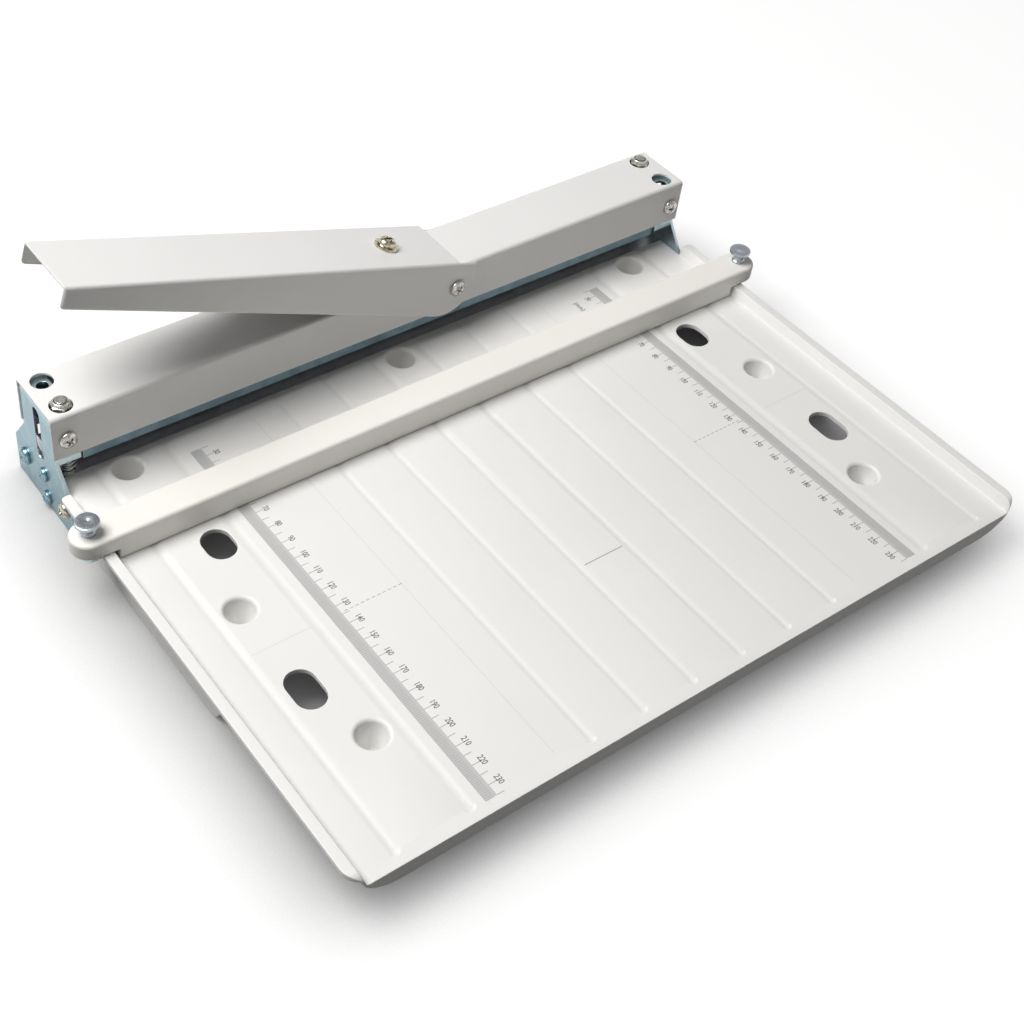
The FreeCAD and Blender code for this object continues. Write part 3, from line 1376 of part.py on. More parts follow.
def make_stop_bar():
    """The adjustable paper stop across the table, stepped over both rims."""
    body = new_body("stop_bar")
    put_on_table(body, y=-D.bar_centre)
    half = D.stop_depth / 2
    over_rim = D.rim_height + D.running_gap
    sketch = new_sketch(body, "XY_Plane", over_rim)
    draw_obround(sketch, (-D.thumb_x, 0), (D.thumb_x, 0), half)
    pad(body, sketch, D.stop_top - over_rim)
    round_edges(body, D.stop_edge_radius, lambda edge: close(edge.BoundBox.ZMin, D.stop_top))
    reach = D.rim_inner - D.rim_slope - D.stop_step_gap
    sketch = new_sketch(body, "XY_Plane", D.running_gap)
    draw_rectangle(sketch, -reach, reach, -half, half)
    pad(body, sketch, over_rim - D.running_gap)
    sketch = new_sketch(body, "XY_Plane", D.stop_top + D.overrun)
    for side in (-1, 1):
        draw_circle(sketch, (side * D.thumb_x, 0), D.turning_hole)
    pocket(body, sketch, D.stop_top + D.overrun)
    return body


def make_left_clamp_plate():
    """The tapped plate that grips the left rim's lip from below."""
    body = new_body("left_clamp_plate")
    put_on_table(body, y=-D.bar_centre)
    half = D.clamp_depth / 2
    top = D.lip_height - D.running_gap
    sketch = new_sketch(body, "XY_Plane", top)
    draw_rectangle(sketch, -D.clamp_outer, -D.clamp_inner, -half, half)
    draw_circle(sketch, (-D.thumb_x, 0), D.turning_hole)
    pad(body, sketch, D.clamp_thickness, reverse=True)
    round_edges(body, D.clamp_corner_radius, edge_at(x=D.clamp_outer, y=half, along="z"))
    return body


def make_right_clamp_plate(left_clamp):
    """The right clamp plate, the left one's mirror image."""
    return mirrored("right_clamp_plate", left_clamp)


def make_thumbscrew(label, side):
    """A thumbscrew with a flat round head on a waisted neck."""
    head_bottom = D.thumb_head_top - D.thumb_head_height
    waist = D.thumb_shoulder + D.thumb_foot_height
    tip = D.lip_height - D.running_gap - D.clamp_thickness - D.thumb_end
    screw = turned(label, [
        (0, tip), (D.m4_radius, tip), (D.m4_radius, D.thumb_shoulder),
        (D.thumb_foot_radius, D.thumb_shoulder), (D.thumb_foot_radius, waist),
        (D.thumb_neck_radius, waist + D.thumb_bevel), (D.thumb_neck_top_radius, head_bottom),
        (D.thumb_head_radius, head_bottom), (D.thumb_head_radius, D.thumb_head_top - D.thumb_bevel),
        (D.thumb_head_radius - D.thumb_bevel, D.thumb_head_top), (0, D.thumb_head_top),
    ])
    put_on_table(screw, x=side * D.thumb_x, y=-D.bar_centre)
    return screw


# Build, check and write

def build():
    """Make every sub-part, in the order in which the machine goes together."""
    left_plate = make_left_end_plate()
    left_clamp = make_left_clamp_plate()
    m4, plate_screws = make_plate_screws()
    parts = [
        make_table_board(), make_rubber_feet(), make_base_beam(), make_crease_matrix(),
        left_plate, make_right_end_plate(left_plate), make_rear_tie_rod(),
    ]
    parts += plate_screws
    parts += [make_top_cover(), make_cover_screws()]
    parts += make_spring_bolts()
    parts += [make_upper_die_carrier(), make_blade_bar(), make_creasing_blade()]
    parts += make_bar_screws(m4)
    parts += [make_spring("left_return_spring", -1), make_spring("right_return_spring", 1)]
    parts += make_lever_pivot()
    parts.append(make_press_lever())
    parts += make_press_screw_set()
    parts += [
        make_stop_bar(), left_clamp, make_right_clamp_plate(left_clamp),
        make_thumbscrew("left_thumbscrew", -1), make_thumbscrew("right_thumbscrew", 1),
    ]
    return parts


def check(parts):
    """Stop if any object failed or any sub-part is not a sound solid."""
    for thing in DOC.Objects:
        if "Invalid" in thing.State or "Error" in thing.State:
            raise RuntimeError(f"{thing.Label} failed: {thing.State}")
    for part in parts:
        shape = part.Shape
        if shape.isNull() or not shape.isValid() or not shape.Solids:
            raise RuntimeError(f"{part.Label} is not a sound solid")


def lever_stroke():
    """How far the lever turns while the carrier goes down its travel, in degrees."""
    reach = math.hypot(D.press_arm.value, D.screw_tip_height.value)
    lean = math.degrees(math.atan2(-D.screw_tip_height.value, D.press_arm.value))
    start = reach * math.sin(math.radians(D.lever_angle.value - lean))
    end = math.degrees(math.asin((start - D.travel.value) / reach)) + lean
    return D.lever_angle.value - end


def write(parts):
    """Write each sub-part under its own name."""
    os.makedirs("parts", exist_ok=True)
    for part in parts:
        part.Shape.exportStep(f"parts/{part.Label}.step")
        print(f"{part.Label}: {len(part.Shape.Solids)} solid(s), {part.Shape.Volume:.0f} mm3")


PARTS = build()
DOC.recompute()
check(PARTS)
write(PARTS)
print(f"crease line at y {D.crease_y.value:.2f} mm, lever stroke {lever_stroke():.3f} degrees")
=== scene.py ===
"""Dressed desktop paper creasing machine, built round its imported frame."""
import logging
import math
from abc import ABC, abstractmethod
from dataclasses import dataclass, field
from enum import Enum
from typing import Any, Iterable, Mapping, Sequence

import bmesh
import bpy
from mathutils import Matrix, Vector


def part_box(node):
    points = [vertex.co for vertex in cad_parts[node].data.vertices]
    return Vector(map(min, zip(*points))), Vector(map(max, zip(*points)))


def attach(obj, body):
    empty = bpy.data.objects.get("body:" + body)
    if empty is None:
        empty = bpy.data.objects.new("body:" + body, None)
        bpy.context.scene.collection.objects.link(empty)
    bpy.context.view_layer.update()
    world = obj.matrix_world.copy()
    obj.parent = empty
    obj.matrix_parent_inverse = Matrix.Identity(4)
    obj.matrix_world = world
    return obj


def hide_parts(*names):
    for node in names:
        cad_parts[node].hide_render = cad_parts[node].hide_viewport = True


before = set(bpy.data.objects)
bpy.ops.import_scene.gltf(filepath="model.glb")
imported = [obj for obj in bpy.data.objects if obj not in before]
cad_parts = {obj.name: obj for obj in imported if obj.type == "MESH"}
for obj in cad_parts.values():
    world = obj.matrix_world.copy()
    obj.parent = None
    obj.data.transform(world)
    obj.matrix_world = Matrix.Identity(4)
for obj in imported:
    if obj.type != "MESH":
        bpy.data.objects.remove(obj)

MM = 0.001
LOG = logging.getLogger("creasing_machine")
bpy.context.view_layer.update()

Point = tuple[float, float]
Colour = tuple[float, float, float]


# Where the machine stands in the frame

CREASE_Y = sum(corner[1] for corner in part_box("creasing_blade")) / 2
RIM_HEIGHT = 5.0 * MM
SURFACE_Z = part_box("table_board")[1][2] - RIM_HEIGHT
PRINT_LIFT = 0.03
PRINT_BOLDNESS = 0.05


def on_table(x: float, y: float, z: float) -> Vector:
    """Turn a place in millimetres from the crease line and the table's surface into metres.

    Args:
        x: Distance to the right of the machine's middle.
        y: Distance behind the crease line.
        z: Height over the table's surface.

    Returns:
        The place in the frame.
    """
    return Vector((x * MM, CREASE_Y + y * MM, SURFACE_Z + z * MM))


class Side(Enum):
    """The machine's left and right halves, as the sign of x."""

    LEFT = -1
    RIGHT = 1

    @property
    def word(self) -> str:
        """Name of the side in piece names."""
        return self.name.lower()


class Facing(Enum):
    """The axis that a row of fasteners points along."""

    SIDEWAYS = 0
    LENGTHWISE = 1
    UPRIGHT = 2


# Nodes

class NodeTree:
    """A node tree that is built node by node."""

    def __init__(self, tree: bpy.types.NodeTree) -> None:
        """Keep the tree."""
        self.tree = tree

    def feed(self, socket: bpy.types.NodeSocket, given: Any) -> None:
        """Give a socket its link or its number.

        Args:
            socket: The input that is fed.
            given: A socket or value to link, or a plain number, colour or data block.
        """
        if isinstance(given, Value):
            given = given.socket
        if isinstance(given, bpy.types.NodeSocket):
            self.tree.links.new(given, socket)
        elif socket.type == "RGBA" and len(given) == 3:
            socket.default_value = (*given, 1.0)
        else:
            socket.default_value = given

    def node(
        self,
        kind: str,
        settings: Mapping[str, Any] | None = None,
        inputs: Mapping[str | int, Any] | None = None,
    ) -> bpy.types.Node:
        """Make any node.

        Args:
            kind: The node's type.
            settings: Its properties, set first. The word stops holds a ramp's stops.
            inputs: What its sockets are given, by name or number.

        Returns:
            The new node.
        """
        made = self.tree.nodes.new(kind)
        for word, setting in (settings or {}).items():
            if word == "stops":
                self.set_stops(made.color_ramp, setting)
            else:
                setattr(made, word, setting)
        for key, given in (inputs or {}).items():
            self.feed(made.inputs[key], given)
        return made

    @staticmethod
    def set_stops(ramp: bpy.types.ColorRamp, stops: Sequence[tuple[float, Colour]]) -> None:
        """Give a ramp its stops.

        Args:
            ramp: The ramp, which starts with two stops.
            stops: Place and colour of each stop, in order.
        """
        while len(ramp.elements) < len(stops):
            ramp.elements.new(1.0)
        for element, (place, colour) in zip(ramp.elements, stops):
            element.position = place
            element.color = (*colour, 1.0)


class Value:
    """A number that changes over a surface, written with plain arithmetic."""

    def __init__(self, graph: "ShaderGraph", socket: bpy.types.NodeSocket) -> None:
        """Keep the graph and the socket that gives the number."""
        self.graph = graph
        self.socket = socket

    def __add__(self, other: "Value | float") -> "Value":
        """Sum."""
        return self.graph.math("ADD", self, other)

    def __radd__(self, other: float) -> "Value":
        """Sum with a plain number first."""
        return self.graph.math("ADD", other, self)

    def __sub__(self, other: "Value | float") -> "Value":
        """Difference."""
        return self.graph.math("SUBTRACT", self, other)

    def __rsub__(self, other: float) -> "Value":
        """Difference from a plain number."""
        return self.graph.math("SUBTRACT", other, self)

    def __mul__(self, other: "Value | float") -> "Value":
        """Product."""
        return self.graph.math("MULTIPLY", self, other)

    def __rmul__(self, other: float) -> "Value":
        """Product with a plain number first."""
        return self.graph.math("MULTIPLY", other, self)

    def __pow__(self, other: float) -> "Value":
        """Power."""
        return self.graph.math("POWER", self, other)

    def between(self, low: float, high: float) -> "Value":
        """Share of the way from low to high, held to 0 and 1.

        Args:
            low: The number that gives 0.
            high: The number that gives 1.

        Returns:
            The share.
        """
        made = self.graph.node(
            "ShaderNodeMapRange", {"interpolation_type": "SMOOTHSTEP"},
            {"Value": self, "From Min": low, "From Max": high})
        return Value(self.graph, made.outputs["Result"])


class ShaderGraph(NodeTree):
    """The nodes of one material, on Object coordinates."""

    def __init__(self, name: str) -> None:
        """Make an empty material with its output.

        Args:
            name: The material's name.
        """
        self.material = bpy.data.materials.new(name)
        self.material.use_nodes = True
        super().__init__(self.material.node_tree)
        self.tree.nodes.clear()
        self.output = self.node("ShaderNodeOutputMaterial")
        self.place = self.node("ShaderNodeTexCoord").outputs["Object"]

    def math(self, operation: str, first: Value | float, second: Value | float) -> Value:
        """One Math node.

        Args:
            operation: What it does.
            first: Its first number.
            second: Its second number.

        Returns:
            The result.
        """
        made = self.node("ShaderNodeMath", {"operation": operation}, {0: first, 1: second})
        return Value(self, made.outputs[0])

    def stretched(
        self, shares: Sequence[float], centre: Sequence[float] = (0, 0, 0),
    ) -> bpy.types.NodeSocket:
        """Object coordinates stretched about a centre.

        Args:
            shares: Scale along each axis.
            centre: The place that becomes the origin, in metres.

        Returns:
            The coordinates.
        """
        moved = [-share * middle for share, middle in zip(shares, centre)]
        return self.node("ShaderNodeMapping", {}, {
            "Vector": self.place, "Location": moved, "Scale": shares}).outputs[0]

    def noise(
        self, size: float, detail: float = 2.0, rough: float = 0.5,
        vector: bpy.types.NodeSocket | None = None,
    ) -> Value:
        """Noise of a given grain.

        Args:
            size: Grain in metres.
            detail: Octaves.
            rough: Share of each finer octave.
            vector: Coordinates, if not plain Object ones.

        Returns:
            A number about 0.5.
        """
        made = self.node("ShaderNodeTexNoise", {}, {
            "Vector": vector or self.place, "Scale": 1.0 / size, "Detail": detail,
            "Roughness": rough})
        return Value(self, made.outputs["Fac"])

    def specks(self, size: float) -> Value:
        """Distance to the nearest of scattered points, for specks and pits.

        Args:
            size: Mean spacing in metres.

        Returns:
            The distance, about 0 to 1.
        """
        made = self.node("ShaderNodeTexVoronoi", {}, {"Vector": self.place, "Scale": 1.0 / size})
        return Value(self, made.outputs["Distance"])

    def edges(self, radius: float) -> Value:
        """Mask that is 1 along convex and concave edges.

        Args:
            radius: Width of the edge zone in metres.

        Returns:
            The mask.
        """
        rounded = self.node("ShaderNodeBevel", {"samples": 4}, {"Radius": radius}).outputs[0]
        true = self.node("ShaderNodeNewGeometry").outputs["Normal"]
        dot = self.node("ShaderNodeVectorMath", {"operation": "DOT_PRODUCT"}, {0: rounded, 1: true})
        return 1.0 - Value(self, dot.outputs["Value"]).between(0.80, 0.985)

    def blend(self, share: Value, first: Any, second: Any) -> bpy.types.NodeSocket:
        """Mix of two colours.

        Args:
            share: Share of the second colour.
            first: Colour or colour socket.
            second: Colour or colour socket.

        Returns:
            The mixed colour.
        """
        made = self.node("ShaderNodeMix", {"data_type": "RGBA"}, {0: share, 6: first, 7: second})
        return made.outputs[2]

    def tints(self, value: Value, stops: Sequence[tuple[float, Colour]]) -> bpy.types.NodeSocket:
        """Colours along a ramp."""
        return self.node("ShaderNodeValToRGB", {"stops": stops}, {0: value}).outputs[0]

    def bump(
        self, height: Value, depth: float, below: bpy.types.NodeSocket | None = None,
    ) -> bpy.types.NodeSocket:
        """Relief from a height.

        Args:
            height: Number from 0 to 1.
            depth: Height of 1 in metres.
            below: A normal that this relief lies on.

        Returns:
            The normal.
        """
        inputs = {"Height": height, "Distance": depth, "Strength": 1.0}
        if below is not None:
            inputs["Normal"] = below
        return self.node("ShaderNodeBump", {}, inputs).outputs[0]

    def principled(self, **inputs: Any) -> bpy.types.Material:
        """End the graph in one surface.

        Args:
            inputs: What its sockets are given, spaces in their names as underscores.

        Returns:
            The finished material.
        """
        named = {word.replace("_", " "): given for word, given in inputs.items()}
        surface = self.node("ShaderNodeBsdfPrincipled", {}, named)
        self.tree.links.new(surface.outputs[0], self.output.inputs["Surface"])
        return self.material


# Finishes

@dataclass(frozen=True)
class Finish(ABC):
    """A surface finish that any number of pieces may share."""

    name: str

    @abstractmethod
    def build(self, graph: ShaderGraph) -> bpy.types.Material:
        """Build the material's nodes.

        Args:
            graph: The empty graph that they go into.

        Returns:
            The material.
        """

    def material(self) -> bpy.types.Material:
        """The material, built when it is first asked for."""
        label = self.name + "_look"
        return bpy.data.materials.get(label) or self.build(ShaderGraph(label))


@dataclass(frozen=True)
class MouldedPlastic(Finish):
    """Injection-moulded plastic with a fine matt grain, flow clouds and handling scuffs."""

    colour: Colour
    cloud: Colour
    roughness: float = 0.45
    grain: float = 0.35 * MM
    grain_depth: float = 0.012 * MM

    def build(self, graph: ShaderGraph) -> bpy.types.Material:
        """Build the material's nodes.

        Args:
            graph: The empty graph that they go into.

        Returns:
            The material.
        """
        clouds = graph.noise(70 * MM, 3.0).between(0.35, 0.75)
        flow = graph.noise(12 * MM, 2.0, vector=graph.stretched((1.0, 0.25, 1.0)))
        grain = graph.noise(self.grain, 1.0)
        scratch = graph.noise(1.1 * MM, 3.0, 0.6, graph.stretched((1.0, 0.03, 1.0)))
        scuffs = scratch.between(0.66, 0.72) * graph.noise(35 * MM).between(0.5, 0.7)
        dirt = graph.specks(9 * MM).between(0.05, 0.02) * graph.noise(20 * MM).between(0.55, 0.6)
        colour = graph.blend(clouds * 0.8 + flow * 0.2, self.colour, self.cloud)
        dusty = graph.blend(dirt * 0.25, colour, tuple(0.6 * part for part in self.cloud))
        waves = graph.bump(graph.noise(28 * MM), 0.05 * MM)
        normal = graph.bump(grain + scuffs * 0.6, self.grain_depth, waves)
        gloss = flow * 0.08 + grain * 0.06 + scuffs * 0.1 + (self.roughness - 0.08)
        return graph.principled(Base_Color=dusty, Roughness=gloss, Normal=normal, IOR=1.49)


@dataclass(frozen=True)
class PowderCoat(Finish):
    """Baked powder paint with orange peel, a few nibs and slightly thin edges."""

    colour: Colour
    edge: Colour
    roughness: float = 0.38
    peel: float = 1.1 * MM
    peel_depth: float = 0.02 * MM

    def build(self, graph: ShaderGraph) -> bpy.types.Material:
        """Build the material's nodes.

        Args:
            graph: The empty graph that they go into.

        Returns:
            The material.
        """
        peel = graph.noise(self.peel, 2.0, 0.4)
        fine = graph.noise(0.25 * MM, 1.0)
        nibs = graph.specks(14 * MM).between(0.022, 0.008)
        cloud = graph.noise(60 * MM, 2.0).between(0.3, 0.7)
        worn = graph.edges(0.5 * MM) * graph.noise(6 * MM, 3.0).between(0.35, 0.65)
        shade = graph.blend(cloud * 0.5, self.colour, tuple(0.965 * part for part in self.colour))
        colour = graph.blend(worn * 0.45, shade, self.edge)
        normal = graph.bump(fine, 0.003 * MM, graph.bump(peel + nibs * 1.5, self.peel_depth))
        return graph.principled(
            Base_Color=colour, Roughness=cloud * 0.05 + fine * 0.05 + (self.roughness - 0.05),
            Normal=normal, IOR=1.5)


@dataclass(frozen=True)
class BlueZinc(Finish):
    """Blue-passivated zinc on sheet steel, with rainbow clouds and rolling streaks."""

    light: Colour
    deep: Colour
    violet: Colour
    roughness: float = 0.3
    rubbed: Colour = (0.86, 0.90, 0.92)

    def build(self, graph: ShaderGraph) -> bpy.types.Material:
        """Build the material's nodes.

        Args:
            graph: The empty graph that they go into.

        Returns:
            The material.
        """
        cloud = graph.noise(17 * MM, 3.0, 0.6)
        bands = graph.tints(cloud, [
            (0.36, self.deep), (0.47, self.light), (0.56, self.deep), (0.66, self.violet)])
        streaks = graph.noise(0.5 * MM, 3.0, 0.6, graph.stretched((1.0, 1.0, 0.05)))
        spots = graph.noise(2.2 * MM, 3.0, 0.7)
        bright = graph.edges(0.45 * MM)
        mottled = graph.blend(spots.between(0.55, 0.75) * 0.3, bands, self.light)
        colour = graph.blend(bright * 0.55, mottled, self.rubbed)
        normal = graph.bump(streaks, 0.006 * MM, graph.bump(graph.noise(9 * MM), 0.03 * MM))
        return graph.principled(
            Base_Color=colour, Metallic=1.0, Normal=normal, Specular_Tint=self.light,
            Roughness=streaks * 0.14 + spots * 0.12 + (self.roughness - 0.13))


@dataclass(frozen=True)
class PlatedSteel(Finish):
    """Plated fastener steel with stamping pits and rubbed edges."""

    colour: Colour
    stain: Colour
    rubbed: Colour = (0.9, 0.89, 0.87)
    roughness: float = 0.24

    def build(self, graph: ShaderGraph) -> bpy.types.Material:
        """Build the material's nodes.

        Args:
            graph: The empty graph that they go into.

        Returns:
            The material.
        """
        stain = graph.noise(1.6 * MM, 3.0, 0.65).between(0.42, 0.68)
        pits = graph.specks(0.55 * MM).between(0.28, 0.1)
        bright = graph.edges(0.2 * MM)
        colour = graph.blend(bright * 0.7, graph.blend(stain, self.colour, self.stain), self.rubbed)
        normal = graph.bump(1.0 - pits, 0.006 * MM, graph.bump(graph.noise(0.9 * MM), 0.02 * MM))
        return graph.principled(
            Base_Color=colour, Metallic=1.0, Normal=normal,
            Roughness=stain * 0.15 + pits * 0.1 + (self.roughness - 0.05))


@dataclass(frozen=True)
class TurnedSteel(Finish):
    """Lathe-turned steel with tool rings about one upright axis."""

    centre: tuple[float, float, float]
    colour: Colour
    dark: Colour
    ring: float = 0.16 * MM
    roughness: float = 0.28
    rubbed: Colour = (0.85, 0.87, 0.9)

    def build(self, graph: ShaderGraph) -> bpy.types.Material:
        """Build the material's nodes.

        Args:
            graph: The empty graph that they go into.

        Returns:
            The material.
        """
        about = graph.stretched((1.0, 1.0, 0.0), self.centre)
        length = graph.node("ShaderNodeVectorMath", {"operation": "LENGTH"}, {0: about})
        reach = Value(graph, length.outputs["Value"])
        rings = graph.math("SINE", reach * (2 * math.pi / self.ring), 0.0) * 0.5 + 0.5
        uneven = graph.noise(2.5 * MM, 2.0)
        smear = graph.noise(1.4 * MM, 3.0, 0.6).between(0.4, 0.7)
        bright = graph.edges(0.25 * MM)
        colour = graph.blend(smear * 0.6 + rings * 0.1, self.colour, self.dark)
        normal = graph.bump(rings * uneven, 0.005 * MM)
        return graph.principled(
            Base_Color=graph.blend(bright * 0.8, colour, self.rubbed), Metallic=1.0,
            Roughness=smear * 0.12 + rings * 0.06 + (self.roughness - 0.05), Normal=normal)


@dataclass(frozen=True)
class DrawnMetal(Finish):
    """Metal with fine lines along one axis, from an extruder, a grinder or a drawing die."""

    colour: Colour
    dark: Colour
    grain: Sequence[float] = (0.02, 1.0, 1.0)
    line: float = 0.35 * MM
    roughness: float = 0.32
    rubbed: Colour = (0.85, 0.86, 0.87)

    def build(self, graph: ShaderGraph) -> bpy.types.Material:
        """Build the material's nodes.

        Args:
            graph: The empty graph that they go into.

        Returns:
            The material.
        """
        lines = graph.noise(self.line, 4.0, 0.65, graph.stretched(self.grain))
        patch = graph.noise(14 * MM, 3.0, 0.6).between(0.4, 0.7)
        colour = graph.blend(patch * 0.6 + lines * 0.3, self.colour, self.dark)
        return graph.principled(
            Base_Color=graph.blend(graph.edges(0.3 * MM) * 0.5, colour, self.rubbed),
            Metallic=1.0, Normal=graph.bump(lines, 0.008 * MM),
            Roughness=lines * 0.2 + patch * 0.08 + (self.roughness - 0.12))


@dataclass(frozen=True)
class Rubber(Finish):
    """Soft dark rubber with dust and a fine mould texture."""

    colour: Colour
    dust: Colour

    def build(self, graph: ShaderGraph) -> bpy.types.Material:
        """Build the material's nodes.

        Args:
            graph: The empty graph that they go into.

        Returns:
            The material.
        """
        dust = graph.noise(3 * MM, 4.0, 0.7).between(0.5, 0.75)
        grain = graph.noise(0.2 * MM, 2.0)
        return graph.principled(
            Base_Color=graph.blend(dust * 0.4, self.colour, self.dust),
            Roughness=grain * 0.15 + dust * 0.1 + 0.65, Normal=graph.bump(grain, 0.02 * MM))


@dataclass(frozen=True)
class PrintInk(Finish):
    """Thin screen-printed ink, a little uneven where the plastic grain shows through."""

    colour: Colour
    thin: Colour

    def build(self, graph: ShaderGraph) -> bpy.types.Material:
        """Build the material's nodes.

        Args:
            graph: The empty graph that they go into.

        Returns:
            The material.
        """
        worn = graph.noise(0.5 * MM, 3.0, 0.7).between(0.45, 0.8)
        patch = graph.noise(11 * MM, 2.0).between(0.4, 0.7)
        return graph.principled(
            Base_Color=graph.blend(worn * 0.6 + patch * 0.25, self.colour, self.thin),
            Roughness=worn * 0.1 + 0.42, Normal=graph.bump(graph.noise(0.35 * MM, 1.0), 0.01 * MM))


TABLE_PLASTIC = MouldedPlastic("table_plastic", (0.86, 0.855, 0.84), (0.83, 0.825, 0.81))
STOP_PLASTIC = MouldedPlastic(
    "stop_plastic", (0.91, 0.895, 0.85), (0.88, 0.86, 0.81), 0.4, 0.5 * MM, 0.02 * MM)
MATRIX_PLASTIC = MouldedPlastic("matrix_plastic", (0.16, 0.16, 0.17), (0.1, 0.1, 0.11), 0.3)
WASHER_PLASTIC = MouldedPlastic("washer_plastic", (0.75, 0.74, 0.70), (0.6, 0.58, 0.54), 0.35)
FOOT_RUBBER = Rubber("foot_rubber", (0.035, 0.035, 0.037), (0.2, 0.19, 0.18))
COVER_PAINT = PowderCoat("cover_paint", (0.84, 0.835, 0.825), (0.90, 0.90, 0.895))
LEVER_PAINT = PowderCoat("lever_paint", (0.84, 0.835, 0.825), (0.90, 0.90, 0.895), 0.36)
PLATE_ZINC = BlueZinc("plate_zinc", (0.54, 0.64, 0.67), (0.46, 0.57, 0.61), (0.50, 0.55, 0.62))
# Painted shade: the carrier's blue zinc is the plates' zinc made darker, standing in for the shade
# that the cover casts on the carrier.
CARRIER_ZINC_PAINTED_SHADE = BlueZinc(
    "carrier_zinc", (0.22, 0.31, 0.36), (0.17, 0.25, 0.29), (0.20, 0.24, 0.30), 0.36)
BEAM_METAL = DrawnMetal("beam_metal", (0.62, 0.63, 0.65), (0.42, 0.43, 0.45))
BLADE_STEEL = DrawnMetal("blade_steel", (0.55, 0.56, 0.58), (0.32, 0.33, 0.35))
ROD_METAL = DrawnMetal("rod_metal", (0.66, 0.67, 0.69), (0.45, 0.46, 0.48))
SPRING_STEEL = DrawnMetal("spring_steel", (0.36, 0.37, 0.40), (0.2, 0.2, 0.22), (1.0, 1.0, 1.0))
SCREW_NICKEL = PlatedSteel("screw_nickel", (0.62, 0.61, 0.58), (0.26, 0.25, 0.24), roughness=0.17)
SCREW_BLUE = PlatedSteel(
    "screw_blue_zinc", (0.27, 0.41, 0.47), (0.12, 0.21, 0.26), (0.55, 0.66, 0.72))
SCREW_CHROME = PlatedSteel("screw_chrome", (0.62, 0.57, 0.46), (0.22, 0.18, 0.12), roughness=0.13)
BOLT_ZINC = PlatedSteel("bolt_zinc", (0.66, 0.65, 0.60), (0.30, 0.29, 0.26))
NUMBER_PRINT = PrintInk("number_print", (0.17, 0.17, 0.17), (0.28, 0.28, 0.28))
TABLE_PRINT = PrintInk("table_print", (0.38, 0.38, 0.38), (0.48, 0.48, 0.48))
HATCH_PRINT = PrintInk("hatch_print", (0.44, 0.44, 0.44), (0.50, 0.50, 0.50))
BAND_PRINT = PrintInk("band_print", (0.57, 0.57, 0.565), (0.60, 0.60, 0.595))
FAINT_PRINT = PrintInk("faint_print", (0.69, 0.69, 0.68), (0.76, 0.755, 0.74))


# Meshes

WELD_GAP = 0.001 * MM
FLAT_ANGLE = 0.3
BEVELLED_FROM_ANGLE = 28.0
FLAT_FACE_WEIGHT = 60


def welded(node: str) -> bmesh.types.BMesh:
    """Merged copy of a node's triangles, with flat faces split as evenly as they can be.

    Args:
        node: The node's name.

    Returns:
        The copy, to be freed by the caller.
    """
    shell = bmesh.new()
    shell.from_mesh(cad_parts[node].data)
    bmesh.ops.remove_doubles(shell, verts=shell.verts, dist=WELD_GAP)
    bmesh.ops.dissolve_limit(
        shell, angle_limit=math.radians(FLAT_ANGLE), verts=shell.verts, edges=shell.edges,
        delimit={"NORMAL"})
    wide = [face for face in shell.faces if len(face.verts) > 4]
    bmesh.ops.triangulate(shell, faces=wide)
    return shell


def solids_of(node: str) -> list[tuple[Vector, Vector]]:
    """Boxes of a node's separate solids.

    Args:
        node: The node's name.

    Returns:
        The lowest and highest corner of each, in a fixed order.
    """
    shell = welded(node)
    left = set(shell.verts)
    boxes = []
    for start in shell.verts:
        if start not in left:
            continue
        left.discard(start)
        group = [start]
        for vertex in group:
            for edge in vertex.link_edges:
                other = edge.other_vert(vertex)
                if other in left:
                    left.discard(other)
                    group.append(other)
        boxes.append((
            Vector([min(vertex.co[axis] for vertex in group) for axis in range(3)]),
            Vector([max(vertex.co[axis] for vertex in group) for axis in range(3)])))
    shell.free()
    return sorted(boxes, key=lambda box: tuple(round(part, 4) for part in box[0]))


def mesh_of(shell: bmesh.types.BMesh, name: str) -> bpy.types.Mesh:
    """Turn a bmesh into a mesh and free it.

    Args:
        shell: The bmesh.
        name: The mesh's name.

    Returns:
        The mesh.
    """
    mesh = bpy.data.meshes.new(name)
    shell.to_mesh(mesh)
    shell.free()
    return mesh


def added(name: str, data: bpy.types.ID) -> bpy.types.Object:
    """Put a mesh, a text, a lamp or a camera into the scene at the origin.

    Args:
        name: The object's name.
        data: What it shows.

    Returns:
        The object.
    """
    thing = bpy.data.objects.new(name, data)
    bpy.context.scene.collection.objects.link(thing)
    return thing


def finished_mesh(thing: bpy.types.Object) -> bpy.types.Mesh:
    """Plain mesh of an object with its modifiers applied. The object is removed.

    Args:
        thing: The object.

    Returns:
        The mesh.
    """
    graph = bpy.context.evaluated_depsgraph_get()
    mesh = bpy.data.meshes.new_from_object(
        thing.evaluated_get(graph), preserve_all_data_layers=True, depsgraph=graph)
    bpy.data.objects.remove(thing)
    return mesh


def smoothed(mesh: bpy.types.Mesh, angle: float = 32.0) -> bpy.types.Mesh:
    """Shade a mesh smooth except across its sharp edges.

    Args:
        mesh: The mesh.
        angle: The angle, in degrees, past which an edge stays sharp.

    Returns:
        The same mesh.
    """
    mesh.shade_smooth()
    mesh.set_sharp_from_angle(angle=math.radians(angle))
    return mesh


